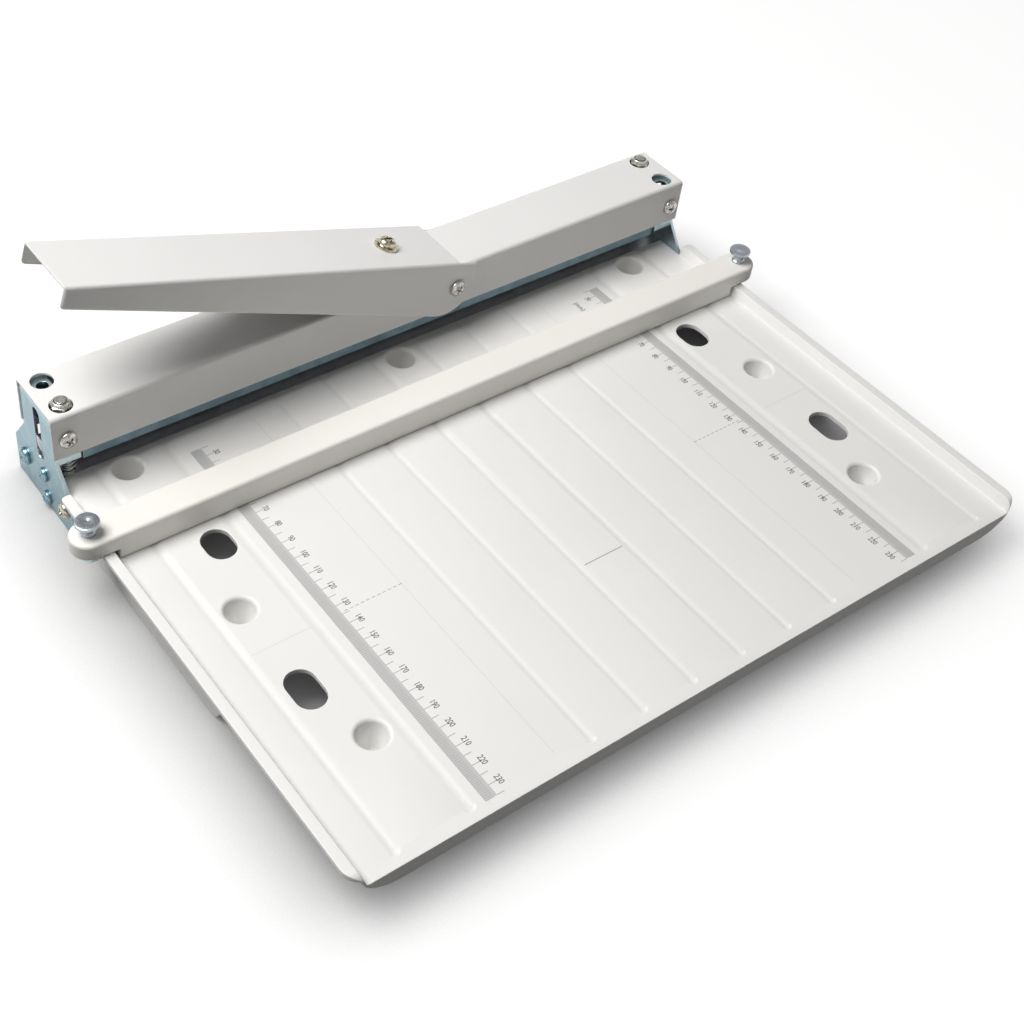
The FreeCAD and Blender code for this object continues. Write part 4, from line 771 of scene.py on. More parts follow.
def lathe(
    profile: Sequence[Point], steps: int = 48, hollow: bool = False,
) -> bmesh.types.BMesh:
    """Closed body turned from a profile about the z axis.

    Args:
        profile: Radius and height of each corner in millimetres, from the axis round to the
            axis again, or all round the section of a hollow body.
        steps: Facets round the body.
        hollow: Whether the profile closes on itself, off the axis.

    Returns:
        The body.
    """
    shell = bmesh.new()
    corners = [shell.verts.new((radius * MM, 0.0, height * MM)) for radius, height in profile]
    following = corners[1:] + corners[:1] if hollow else corners[1:]
    edges = [shell.edges.new(pair) for pair in zip(corners, following)]
    bmesh.ops.spin(
        shell, geom=corners + edges, cent=(0, 0, 0), axis=(0, 0, 1), angle=2 * math.pi,
        steps=steps, use_merge=True)
    bmesh.ops.remove_doubles(shell, verts=shell.verts, dist=WELD_GAP / 2)
    bmesh.ops.recalc_face_normals(shell, faces=shell.faces)
    return shell


def arc(centre: Point, radius: float, start: float, end: float, steps: int = 6) -> list[Point]:
    """Points of an arc.

    Args:
        centre: Its centre.
        radius: Its radius.
        start: Angle of the first point in degrees.
        end: Angle of the last point in degrees.
        steps: Chords.

    Returns:
        The points.
    """
    angles = [math.radians(start + (end - start) * step / steps) for step in range(steps + 1)]
    return [(centre[0] + radius * math.cos(a), centre[1] + radius * math.sin(a)) for a in angles]


def prism(
    outline: Sequence[Point], low: float, high: float, low_share: float = 1.0,
) -> bmesh.types.BMesh:
    """Upright prism, narrower at its foot where asked.

    Args:
        outline: Corners in millimetres, counter-clockwise.
        low: Height of its foot.
        high: Height of its top.
        low_share: Size of the foot as a share of the top.

    Returns:
        The prism.
    """
    shell = bmesh.new()
    share = low_share
    foot = [shell.verts.new((x * share * MM, y * share * MM, low * MM)) for x, y in outline]
    top = [shell.verts.new((x * MM, y * MM, high * MM)) for x, y in outline]
    shell.faces.new(reversed(foot))
    shell.faces.new(top)
    for index in range(len(outline)):
        after = (index + 1) % len(outline)
        shell.faces.new((foot[index], foot[after], top[after], top[index]))
    return shell


def carved(
    body: bmesh.types.BMesh, tool: bmesh.types.BMesh, operation: str = "DIFFERENCE",
) -> bpy.types.Mesh:
    """Mesh of a body cut by, or kept within, a tool.

    Args:
        body: The body, which is freed.
        tool: The tool, which is freed.
        operation: DIFFERENCE to cut, INTERSECT to keep within.

    Returns:
        The mesh.
    """
    thing = added("carved_body", mesh_of(body, "carved_body"))
    cutter = added("carving_tool", mesh_of(tool, "carving_tool"))
    cut = thing.modifiers.new("cut", "BOOLEAN")
    cut.operation = operation
    cut.solver = "EXACT"
    cut.object = cutter
    mesh = finished_mesh(thing)
    bpy.data.objects.remove(cutter)
    return mesh


def joined(meshes: Iterable[bpy.types.Mesh], name: str) -> bpy.types.Mesh:
    """One mesh from several.

    Args:
        meshes: The meshes, which share their material slots.
        name: Name of the result.

    Returns:
        The mesh.
    """
    shell = bmesh.new()
    for mesh in meshes:
        shell.from_mesh(mesh)
    return mesh_of(shell, name)


def dress(
    thing: bpy.types.Object, finish: Finish, body: str, replaced: Sequence[str] = (),
) -> bpy.types.Object:
    """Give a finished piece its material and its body.

    Args:
        thing: The piece.
        finish: Its finish.
        body: The body that it moves with.
        replaced: Nodes that it stands for.

    Returns:
        The piece.
    """
    thing.data.materials.clear()
    thing.data.materials.append(finish.material())
    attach(thing, body)
    if replaced:
        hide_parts(*replaced)
    LOG.info("%s on %s, %d faces", thing.name, body, len(thing.data.polygons))
    return thing


def recoat(node: str, finish: Finish) -> None:
    """Give a frame piece that stays as it is its material.

    Args:
        node: The node's name.
        finish: Its finish.
    """
    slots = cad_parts[node].data.materials
    if len(slots) == 0:
        slots.append(finish.material())
    for index in range(len(slots)):
        slots[index] = finish.material()
    LOG.info("%s keeps its solid", node)


def softened(
    node: str, finish: Finish, body: str, radius: float = 0.3,
) -> bpy.types.Object:
    """Replace a frame piece by a copy whose edges are broken.

    Args:
        node: The node's name.
        finish: Its finish.
        body: The body that it moves with.
        radius: Width of the broken edge in millimetres.

    Returns:
        The new piece.
    """
    rough = added(node + "_rough", mesh_of(welded(node), node + "_rough"))
    edge = rough.modifiers.new("broken_edges", "BEVEL")
    edge.width = radius * MM
    edge.segments = 2
    edge.limit_method = "ANGLE"
    edge.angle_limit = math.radians(BEVELLED_FROM_ANGLE)
    edge.use_clamp_overlap = False
    edge.loop_slide = False
    smooth = added(node + "_smooth", smoothed(finished_mesh(rough)))
    normals = smooth.modifiers.new("flat_faces", "WEIGHTED_NORMAL")
    normals.mode = "FACE_AREA"
    normals.weight = FLAT_FACE_WEIGHT
    normals.keep_sharp = True
    piece = added(node + "_dressed", finished_mesh(smooth))
    return dress(piece, finish, body, [node])


# Rows made by node trees

class RowTree(NodeTree):
    """A geometry tree that ends in plain faces with one material."""

    def __init__(self, name: str, inputs: Mapping[str, str]) -> None:
        """Make the tree with its named inputs.

        Args:
            name: The tree's name.
            inputs: Socket type of each named input.
        """
        super().__init__(bpy.data.node_groups.new(name, "GeometryNodeTree"))
        face = self.tree.interface
        face.new_socket("Geometry", in_out="INPUT", socket_type="NodeSocketGeometry")
        for word, kind in inputs.items():
            face.new_socket(word, in_out="INPUT", socket_type=kind)
        face.new_socket("Finish", in_out="INPUT", socket_type="NodeSocketMaterial")
        face.new_socket("Geometry", in_out="OUTPUT", socket_type="NodeSocketGeometry")
        self.given = self.node("NodeGroupInput").outputs

    def end_in(self, instances: bpy.types.NodeSocket) -> None:
        """Realize the instances, give them the finish and end the tree.

        Args:
            instances: The instances.
        """
        real = self.node("GeometryNodeRealizeInstances", {}, {0: instances}).outputs[0]
        coated = self.node("GeometryNodeSetMaterial", {}, {
            "Geometry": real, "Material": self.given["Finish"]}).outputs[0]
        self.node("NodeGroupOutput", {}, {0: coated})

    def run(self, base: bpy.types.Mesh, **values: Any) -> bpy.types.Mesh:
        """Run the tree on a mesh.

        Args:
            base: The mesh that the tree starts from.
            values: What its inputs are given, by name.

        Returns:
            The resulting mesh.
        """
        thing = added("row", base)
        modifier = thing.modifiers.new("row", "NODES")
        modifier.node_group = self.tree
        for item in self.tree.interface.items_tree:
            if item.in_out == "INPUT" and item.name in values:
                modifier[item.identifier] = values[item.name]
        return finished_mesh(thing)


class FastenerTree(RowTree):
    """Sets one fastener on each point, along the point's facing and turned at random."""

    def __init__(self) -> None:
        """Build the tree."""
        super().__init__("fastener_row", {"Form": "NodeSocketObject", "Seed": "NodeSocketInt"})
        facing = self.node(
            "GeometryNodeInputNamedAttribute", {"data_type": "FLOAT_VECTOR"}, {"Name": "facing"})
        aligned = self.node(
            "FunctionNodeAlignRotationToVector", {"axis": "Z"},
            {"Vector": facing.outputs["Attribute"]})
        turn = self.node("FunctionNodeRandomValue", {"data_type": "FLOAT"}, {
            "Seed": self.given["Seed"]})
        for socket in turn.inputs:
            if socket.name == "Max" and socket.type == "VALUE":
                socket.default_value = math.pi / 2
        chosen = next(socket for socket in turn.outputs if socket.enabled)
        roll = self.node("FunctionNodeAxisAngleToRotation", {}, {
            "Axis": (0.0, 0.0, 1.0), "Angle": chosen})
        rotation = self.node("FunctionNodeRotateRotation", {"rotation_space": "LOCAL"}, {
            "Rotation": aligned.outputs[0], "Rotate By": roll.outputs[0]})
        form = self.node("GeometryNodeObjectInfo", {}, {
            "Object": self.given["Form"], "As Instance": True})
        placed = self.node("GeometryNodeInstanceOnPoints", {}, {
            "Points": self.given["Geometry"], "Instance": form.outputs["Geometry"],
            "Rotation": rotation.outputs[0]})
        self.end_in(placed.outputs[0])


class MarkTree(RowTree):
    """Lays flat marks of one size in a straight row."""

    def __init__(self) -> None:
        """Build the tree."""
        super().__init__("mark_row", {
            "Count": "NodeSocketInt", "First": "NodeSocketVector", "Step": "NodeSocketVector",
            "Length": "NodeSocketFloat", "Width": "NodeSocketFloat"})
        line = self.node("GeometryNodeMeshLine", {"mode": "OFFSET"}, {
            "Count": self.given["Count"], "Start Location": self.given["First"],
            "Offset": self.given["Step"]})
        mark = self.node("GeometryNodeMeshGrid", {}, {
            "Size X": self.given["Length"], "Size Y": self.given["Width"],
            "Vertices X": 2, "Vertices Y": 2})
        placed = self.node("GeometryNodeInstanceOnPoints", {}, {
            "Points": line.outputs[0], "Instance": mark.outputs[0]})
        self.end_in(placed.outputs[0])

    def lay(
        self, ink: Finish, first: Point, size: Point, step: Point = (0.0, 0.0), count: int = 1,
        lift: float = PRINT_LIFT,
    ) -> bpy.types.Mesh:
        """Lay a row of marks on the table's surface. All sizes in millimetres.

        Args:
            ink: Their finish.
            first: Distance of the first mark to the right of the middle and in front of the
                crease line.
            size: Length of each across the table and along it.
            step: Way from each mark to the next, measured as the first one's place is.
            count: How many.
            lift: Height over the table.

        Returns:
            The marks.
        """
        return self.run(
            bpy.data.meshes.new("marks"), Count=count, First=on_table(first[0], -first[1], lift),
            Step=Vector((step[0] * MM, -step[1] * MM, 0.0)), Length=size[0] * MM,
            Width=size[1] * MM, Finish=ink.material())


# Fasteners

@dataclass
class Fastener(ABC):
    """A small turned or pressed piece. Its bearing face is at zero and its head is up."""

    @abstractmethod
    def mesh(self) -> bpy.types.Mesh:
        """Mesh of one fastener, in its own frame."""

    @property
    @abstractmethod
    def reach(self) -> float:
        """Height of its outer end over the bearing face, in millimetres."""


THREAD_CORE_SHARE = 0.86


def threaded(radius: float, low: float, high: float, pitch: float) -> list[Point]:
    """Profile of a thread, from its low end to its high end.

    Args:
        radius: Outer radius of the thread.
        low: Height of the low end.
        high: Height of the high end.
        pitch: Rise of each turn.

    Returns:
        Corners of the profile.
    """
    turns = max(1, int((high - low) / pitch))
    core = radius * THREAD_CORE_SHARE
    points = [(core, low)]
    for turn in range(turns):
        foot = low + turn * pitch
        points += [
            (reach, foot + pitch * share)
            for reach, share in ((radius, 0.4), (radius, 0.55), (core, 0.95))]
    return points


@dataclass
class CrossScrew(Fastener):
    """A pan-head machine screw with a cross recess."""

    radius: float
    length: float
    head_radius: float
    head_height: float
    pitch: float = 0.7
    recess_share: float = 0.62
    blade_share: float = 0.15
    recess_depth: float = 0.62

    @property
    def reach(self) -> float:
        """Height of the head."""
        return self.head_height

    def profile(self) -> list[Point]:
        """Outline from the tip up to the middle of the head.

        Returns:
            Corners in millimetres.
        """
        rim = 0.30 * self.head_height
        dome = [
            (self.head_radius * math.sin(angle) ** 0.8,
             rim + (self.head_height - rim) * math.cos(angle))
            for angle in (math.pi / 2 * (1 - step / 9) for step in range(9))]
        thread = threaded(self.radius, -self.length, -0.4, self.pitch)
        return [
            (0.0, -self.length), *thread, (self.radius, -0.3), (self.radius, 0.0),
            (self.head_radius * 0.94, 0.0), (self.head_radius, 0.06 * self.head_height),
            *dome, (0.0, self.head_height)]

    def mesh(self) -> bpy.types.Mesh:
        """Turned head and thread with the recess cut in.

        Returns:
            The mesh.
        """
        arm = self.head_radius * self.recess_share
        half = self.head_radius * self.blade_share
        hub = half * 1.5
        quarter = [(arm, -half), (arm, half), (hub, half), (half, hub)]
        cross = []
        for turn in range(4):
            c, s = math.cos(turn * math.pi / 2), math.sin(turn * math.pi / 2)
            cross += [(x * c - y * s, x * s + y * c) for x, y in quarter]
        floor = self.head_height * (1 - self.recess_depth)
        tool = prism(cross, floor, self.head_height + 0.4, 0.42)
        return smoothed(carved(lathe(self.profile()), tool), 40)


@dataclass
class HexNut(Fastener):
    """A hexagon nut with turned chamfers, on a bolt end, with a locking collar where it has one."""

    flats: float
    height: float
    bore: float
    collar_radius: float = 0.0
    collar_height: float = 0.0

    @property
    def reach(self) -> float:
        """Height of the nut with its collar."""
        return self.height + self.collar_height

    def mesh(self) -> bpy.types.Mesh:
        """Hexagon kept within a turned barrel.

        Returns:
            The mesh.
        """
        corner = self.flats / math.sqrt(3)
        hexagon = [
            (corner * math.cos(math.radians(60 * side)), corner * math.sin(math.radians(60 * side)))
            for side in range(6)]
        bevel = (corner - self.flats / 2) * 1.05
        drop = bevel * math.tan(math.radians(30))
        outer = [
            (corner - bevel, 0.0), (corner + 0.01, drop), (corner + 0.01, self.height - drop),
            (corner - bevel, self.height)]
        bore = [(self.bore, 0.35), (self.bore + 0.35, 0.0)]
        if self.collar_height:
            top = self.reach
            edge = self.collar_height * 0.45
            outer += [
                (self.collar_radius, self.height + 0.02),
                *arc((self.collar_radius - edge, top - edge), edge, 0, 90, 4)]
            mouth = self.bore + 0.45
            inner = [(mouth, top), (mouth, self.height), (self.bore, self.height)]
        else:
            inner = [(self.bore + 0.35, self.height), (self.bore, self.height - 0.35)]
        ring = lathe(outer + inner + bore, hollow=True)
        return smoothed(carved(ring, prism(hexagon, -0.5, self.reach + 0.5), "INTERSECT"))


def machine_screw_m4(length: float = 9.0) -> CrossScrew:
    """The M4 pan-head screw that most of the press is held by."""
    return CrossScrew(2.0, length, 4.0, 2.6)


@dataclass
class FastenerRow:
    """Fasteners of one node, set where the frame has them."""

    form: Fastener
    node: str
    facing: Facing
    finish: Finish
    body: str
    slot: str
    seed: int = 0
    up: bool | None = None

    def build(self, tree: FastenerTree) -> bpy.types.Object:
        """Set the fasteners and dress them as one piece.

        Args:
            tree: The tree that places them.

        Returns:
            The piece.
        """
        axis = self.facing.value
        boxes = solids_of(self.node)
        middle = sum((low[axis] + high[axis]) / 2 for low, high in boxes) / len(boxes)
        seats = bmesh.new()
        facing = seats.verts.layers.float_vector.new("facing")
        for low, high in boxes:
            centre = (low + high) / 2
            outward = centre[axis] >= middle if self.up is None else self.up
            sign = 1 if outward else -1
            place = centre.copy()
            place[axis] = (high if outward else low)[axis] - sign * self.form.reach * MM
            seat = seats.verts.new(place)
            seat[facing] = Vector([sign if other == axis else 0 for other in range(3)])
        form = added("fastener_form", self.form.mesh())
        mesh = tree.run(
            mesh_of(seats, self.node + "_seats"), Form=form, Seed=self.seed,
            Finish=self.finish.material())
        bpy.data.objects.remove(form)
        piece = added(self.node + "_dressed", mesh)
        return dress(piece, self.finish, self.body, [self.node])


# Sub-assemblies

FRAME_BODY = "machine_frame"
PRESS_BODY = "press_carriage"
LEVER_BODY = "hand_lever"
STOP_BODY = "paper_stop"


@dataclass
class Ruler:
    """A millimetre ruler printed down one side of the table. All sizes in millimetres."""

    side: Side
    start: float = 25.0
    end: float = 235.0
    band_inner: float = 109.0
    band_outer: float = 114.3
    hatch_length: float = 4.0
    hatch_width: float = 0.28
    tick_width: float = 0.28
    ten_length: float = 4.5
    five_length: float = 3.4
    number_x: float = 104.3
    number_size: float = 3.7
    number_squeeze: float = 0.75
    first_number: int = 30
    last_number: int = 230

    def row(
        self, tree: MarkTree, ink: Finish, across: Point, along: Point, width: float, count: int,
        lift: float = PRINT_LIFT,
    ) -> bpy.types.Mesh:
        """One row of marks across the ruler.

        Args:
            tree: The tree that lays them.
            ink: Their finish.
            across: Distance of their inner ends from the machine's middle, and their length.
            along: Distance of the first from the crease line, and the step to the next.
            width: Width along the table.
            count: How many.
            lift: Height over the table.

        Returns:
            The marks.
        """
        inner, length = across
        first, step = along
        middle = self.side.value * (inner + length / 2)
        return tree.lay(ink, (middle, first), (length, width), (0.0, step), count, lift)

    def numbers(self) -> list[bpy.types.Mesh]:
        """The numbers at every ten millimetres.

        Returns:
            One mesh for each.
        """
        found = []
        for number in range(self.first_number, self.last_number + 1, 10):
            place = on_table(self.side.value * self.number_x, -number, PRINT_LIFT)
            found.append(lettering(str(number), self.number_size, self.number_squeeze, place))
        return found

    def build(self, tree: MarkTree) -> None:
        """Print the band, its marks and its numbers.

        Args:
            tree: The tree that lays the marks.
        """
        span = self.end - self.start
        band = self.row(
            tree, BAND_PRINT, (self.band_inner, self.band_outer - self.band_inner),
            (self.start + span / 2, 1.0), span, 1)
        hatch = self.row(
            tree, HATCH_PRINT, (self.band_outer - self.hatch_length, self.hatch_length),
            (self.start, 1.0), self.hatch_width, int(span) + 1, 2 * PRINT_LIFT)
        tens = self.row(
            tree, TABLE_PRINT, (self.band_inner - self.ten_length, self.ten_length),
            (self.first_number, 10.0), self.tick_width, int(span / 10))
        fives = self.row(
            tree, TABLE_PRINT, (self.band_inner - self.five_length, self.five_length),
            (self.start, 10.0), self.tick_width, int(span / 10) + 1)
        for word, meshes, ink in (
            ("band", [band], BAND_PRINT), ("hatch", [hatch], HATCH_PRINT),
            ("ticks", [tens, fives], TABLE_PRINT), ("numbers", self.numbers(), NUMBER_PRINT),
        ):
            printed(self.side.word + "_ruler_" + word, meshes, ink)


def printed(name: str, meshes: Iterable[bpy.types.Mesh], ink: Finish) -> None:
    """Make one printed piece of the table from several meshes.

    Args:
        name: The piece's name.
        meshes: What is printed.
        ink: Its finish.
    """
    dress(added(name, joined(meshes, name)), ink, FRAME_BODY)


def lettering(words: str, size: float, squeeze: float, place: Vector) -> bpy.types.Mesh:
    """Printed words whose line runs towards the user and whose tops point right.

    Args:
        words: What is printed.
        size: Height of the letters' line in millimetres.
        squeeze: Width of the letters as a share of the plain ones.
        place: Middle of the words.

    Returns:
        The mesh, in place.
    """
    line = bpy.data.curves.new("lettering", "FONT")
    line.body = words
    line.size = size * MM
    line.offset = PRINT_BOLDNESS * MM
    line.align_x = "CENTER"
    line.align_y = "CENTER"
    line.resolution_u = 3
    mesh = finished_mesh(added("lettering", line))
    turn = Matrix(((0, 1, 0), (-1, 0, 0), (0, 0, 1))).to_4x4()
    mesh.transform(Matrix.Translation(place) @ turn @ Matrix.Diagonal((squeeze, 1.0, 1.0, 1.0)))
    return mesh


@dataclass
class FeedTable:
    """The moulded feed table with its feet, its crease strip and its printed rulers."""

    fold_line_y: float = 134.0
    fold_line_start: float = 80.7
    fold_line_end: float = 107.0
    dash: float = 1.6
    dash_pitch: float = 2.6
    dash_width: float = 0.34
    mould_line_width: float = 0.25
    mould_line_x: float = 80.1
    mould_line_start: float = 20.0
    mould_line_end: float = 232.0
    sink_line_start: float = 123.5
    sink_line_end: float = 150.5
    centre_line_y: float = 165.5
    centre_line_half: float = 10.2
    centre_line_width: float = 0.45
    unit_place: Point = (97.0, -32.5)
    unit_size: float = 3.6
    unit_squeeze: float = 0.9
    board_edge: float = 0.35
    foot_edge: float = 0.3
    strip_edge: float = 0.1

    def build(self, marks: MarkTree) -> None:
        """Build and dress the table.

        Args:
            marks: The tree that lays printed marks.
        """
        softened("table_board", TABLE_PLASTIC, FRAME_BODY, self.board_edge)
        softened("rubber_feet", FOOT_RUBBER, FRAME_BODY, self.foot_edge)
        softened("crease_matrix", MATRIX_PLASTIC, FRAME_BODY, self.strip_edge)
        for side in Side:
            Ruler(side).build(marks)
        self.print_lines(marks)
        self.mark_joints(marks)

    def print_lines(self, marks: MarkTree) -> None:
        """Print the dashed guide lines, the centre line and the unit.

        Args:
            marks: The tree that lays printed marks.
        """
        count = int((self.fold_line_end - self.fold_line_start) / self.dash_pitch) + 1
        lines = [
            marks.lay(
                TABLE_PRINT, (side.value * self.fold_line_start, self.fold_line_y),
                (self.dash, self.dash_width), (side.value * self.dash_pitch, 0.0), count)
            for side in Side]
        lines.append(marks.lay(
            TABLE_PRINT, (0.0, self.centre_line_y),
            (2 * self.centre_line_half, self.centre_line_width)))
        printed("guide_lines", lines, TABLE_PRINT)
        place = on_table(*self.unit_place, PRINT_LIFT)
        unit = lettering("(mm)", self.unit_size, self.unit_squeeze, place)
        printed("ruler_unit", [unit], NUMBER_PRINT)

    def mark_joints(self, marks: MarkTree) -> None:
        """Lay the faint lines that the mould's inserts and ribs leave on the surface.

        Args:
            marks: The tree that lays flat marks.
        """
        span = self.mould_line_end - self.mould_line_start
        sink = self.sink_line_end - self.sink_line_start
        width = self.mould_line_width
        seams = (
            (self.mould_line_x, self.mould_line_start + span / 2, (width, span)),
            (self.sink_line_start + sink / 2, self.fold_line_y, (sink, width)))
        lines = [
            marks.lay(FAINT_PRINT, (side.value * x, y), size)
            for side in Side for x, y, size in seams]
        printed("mould_lines", lines, FAINT_PRINT)


@dataclass
class PressFrame:
    """The base beam, the two plated end plates, the tie rod and their screws."""

    plate_screw: CrossScrew = field(default_factory=lambda: CrossScrew(1.5, 9.0, 3.3, 2.2, 0.5))
    rod_screw: CrossScrew = field(default_factory=machine_screw_m4)
    table_screw: CrossScrew = field(default_factory=lambda: CrossScrew(1.7, 9.0, 3.6, 3.0, 0.9))
    beam_edge: float = 0.3
    plate_edge: float = 0.25
    rod_edge: float = 0.3

    def build(self, fasteners: FastenerTree) -> None:
        """Build and dress the frame.

        Args:
            fasteners: The tree that sets fasteners.
        """
        softened("base_beam", BEAM_METAL, FRAME_BODY, self.beam_edge)
        for side in Side:
            node = side.word + "_end_plate"
            softened(node, PLATE_ZINC, FRAME_BODY, self.plate_edge)
        softened("rear_tie_rod", ROD_METAL, FRAME_BODY, self.rod_edge)
        for form, node, finish, seed in (
            (self.plate_screw, "beam_screws", SCREW_BLUE, 3),
            (self.rod_screw, "tie_rod_screws", SCREW_BLUE, 5),
            (self.table_screw, "table_screws", SCREW_CHROME, 8),
        ):
            row = FastenerRow(form, node, Facing.SIDEWAYS, finish, FRAME_BODY, "screw_metal", seed)
            row.build(fasteners)


@dataclass
class CoverHousing:
    """The painted cover over the press, its screws and the spring bolts with their nuts."""

    cover_screw: CrossScrew = field(default_factory=lambda: machine_screw_m4(3.0))
    lock_nut: HexNut = field(default_factory=lambda: HexNut(8.0, 3.6, 2.53, 3.5, 1.4))
    sheet_edge: float = 0.3
    bolt_edge: float = 0.25

    def build(self, fasteners: FastenerTree) -> None:
        """Build and dress the cover.

        Args:
            fasteners: The tree that sets fasteners.
        """
        softened("top_cover", COVER_PAINT, FRAME_BODY, self.sheet_edge)
        FastenerRow(
            self.cover_screw, "cover_screws", Facing.LENGTHWISE, SCREW_NICKEL, FRAME_BODY,
            "screw_metal", 11).build(fasteners)
        FastenerRow(
            self.lock_nut, "spring_nuts", Facing.UPRIGHT, BOLT_ZINC, FRAME_BODY,
            "bolt_metal", 2, up=True).build(fasteners)
        softened("spring_bolts", BOLT_ZINC, FRAME_BODY, self.bolt_edge)
        for side in Side:
            recoat(side.word + "_return_spring", SPRING_STEEL)


@dataclass
class PressCarriage:
    """The plated carrier with the blade bar, its screws and the creasing blade."""

    bar_screw: CrossScrew = field(default_factory=machine_screw_m4)
    sheet_edge: float = 0.25
    bar_edge: float = 0.25
    blade_edge: float = 0.1
    grub_edge: float = 0.12

    def build(self, fasteners: FastenerTree) -> None:
        """Build and dress the carriage.

        Args:
            fasteners: The tree that sets fasteners.
        """
        # The carrier's darker zinc is painted shade for its place under the cover.
        softened("upper_die_carrier", CARRIER_ZINC_PAINTED_SHADE, PRESS_BODY, self.sheet_edge)
        softened("blade_bar", BLADE_STEEL, PRESS_BODY, self.bar_edge)
        softened("creasing_blade", BLADE_STEEL, PRESS_BODY, self.blade_edge)
        softened("blade_grub_screws", ROD_METAL, PRESS_BODY, self.grub_edge)
        FastenerRow(
            self.bar_screw, "blade_bar_screws", Facing.UPRIGHT, SCREW_NICKEL, PRESS_BODY,
            "screw_metal", 4, up=True).build(fasteners)


@dataclass
class HandLever:
    """The pressed sheet lever with its pivot and its press screw."""

    axle_screw: CrossScrew = field(default_factory=machine_screw_m4)
    sheet_edge: float = 0.3
    axle_edge: float = 0.2
    pivot_washer_edge: float = 0.08
    press_screw_edge: float = 0.2
    press_washer_edge: float = 0.15

    def build(self, fasteners: FastenerTree) -> None:
        """Build and dress the lever.

        Args:
            fasteners: The tree that sets fasteners.
        """
        softened("press_lever", LEVER_PAINT, LEVER_BODY, self.sheet_edge)
        softened("lever_axle", ROD_METAL, FRAME_BODY, self.axle_edge)
        FastenerRow(
            self.axle_screw, "axle_screws", Facing.LENGTHWISE, SCREW_NICKEL, FRAME_BODY,
            "screw_metal", 6).build(fasteners)
        softened(
            "pivot_washers", WASHER_PLASTIC, FRAME_BODY, self.pivot_washer_edge)
        for node, finish, edge in (
            ("press_screw", SCREW_CHROME, self.press_screw_edge),
            ("press_washer", SCREW_CHROME, self.press_washer_edge),
            ("press_nut", BOLT_ZINC, self.press_screw_edge),
        ):
            softened(node, finish, LEVER_BODY, edge)


@dataclass
class Thumbscrew:
    """A turned thumbscrew with a flat head. Sizes in millimetres from the neck's shoulder."""

    side: Side
    head_radius: float = 5.15
    head_height: float = 1.5
    bevel: float = 0.45
    neck_top_radius: float = 4.1
    neck_radius: float = 2.5
    foot_radius: float = 3.1
    foot_height: float = 1.1
    thread_radius: float = 2.0
    shoulder: float = 13.05
    head_top: float = 19.8
    dimple_radius: float = 0.9
    dimple_depth: float = 0.1
    steel: Colour = (0.47, 0.51, 0.55)
    steel_shade: Colour = (0.30, 0.34, 0.38)

    def build(self) -> None:
        """Turn and dress the thumbscrew where the frame has it."""
        node = self.side.word + "_thumbscrew"
        low, high = (Vector(corner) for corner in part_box(node))
        base = high.z / MM - self.head_top
        tip = low.z / MM - base
        under = self.head_top - self.head_height
        waist = self.shoulder + self.foot_height
        rise = under - waist
        neck = [
            (self.neck_radius + (self.neck_top_radius - self.neck_radius) * (step / 6) ** 2.2,
             waist + 0.35 + (rise - 0.55) * step / 6)
            for step in range(7)]
        profile = [
            (0.0, tip), (self.thread_radius * 0.8, tip),
            *threaded(self.thread_radius, tip + 0.2, self.shoulder - 0.5, 0.7),
            (self.thread_radius, self.shoulder - 0.3), (self.thread_radius, self.shoulder),
            (self.foot_radius - 0.15, self.shoulder), (self.foot_radius, self.shoulder + 0.15),
            (self.foot_radius, waist - 0.15), (self.foot_radius - 0.15, waist), *neck,
            (self.head_radius - 0.25, under), (self.head_radius, under + 0.25),
            (self.head_radius, self.head_top - self.bevel),
            (self.head_radius - self.bevel * 0.4, self.head_top - self.bevel * 0.3),
            (self.head_radius - self.bevel, self.head_top - 0.03),
            (self.head_radius - self.bevel - 0.12, self.head_top),
            (self.dimple_radius, self.head_top),
            (self.dimple_radius - 0.15, self.head_top - 0.8 * self.dimple_depth),
            (0.0, self.head_top - self.dimple_depth)]
        mesh = mesh_of(lathe(profile, 64), node + "_turned")
        centre = (low + high) / 2
        mesh.transform(Matrix.Translation((centre.x, centre.y, base * MM)))
        finish = TurnedSteel(node + "_steel", tuple(centre), self.steel, self.steel_shade)
        piece = added(node + "_dressed", smoothed(mesh))
        dress(piece, finish, self.side.word + "_knob", [node])


@dataclass
class PaperStop:
    """The sliding stop bar with its clamp plates and thumbscrews."""

    bar_edge: float = 0.6
    plate_edge: float = 0.2

    def build(self) -> None:
        """Build and dress the stop."""
        softened("stop_bar", STOP_PLASTIC, STOP_BODY, self.bar_edge)
        for side in Side:
            node = side.word + "_clamp_plate"
            softened(node, PLATE_ZINC, STOP_BODY, self.plate_edge)
            Thumbscrew(side).build()


# Studio

@dataclass
class Lamp:
    """A soft rectangular lamp that looks at the table's middle. Places in metres."""

    name: str
    place: tuple[float, float, float]
    size: float
    watts: float
    colour: Colour = (1.0, 1.0, 1.0)

    def build(self, target: Vector) -> None:
        """Hang the lamp.

        Args:
            target: The place that it looks at.
        """
        lamp = bpy.data.lights.new(self.name, "AREA")
        lamp.shape = "SQUARE"
        lamp.size = self.size
        lamp.energy = self.watts
        lamp.color = self.colour
        thing = added(self.name, lamp)
        place = Vector(self.place)
        thing.location = place
        thing.rotation_euler = (target - place).to_track_quat("-Z", "Y").to_euler()


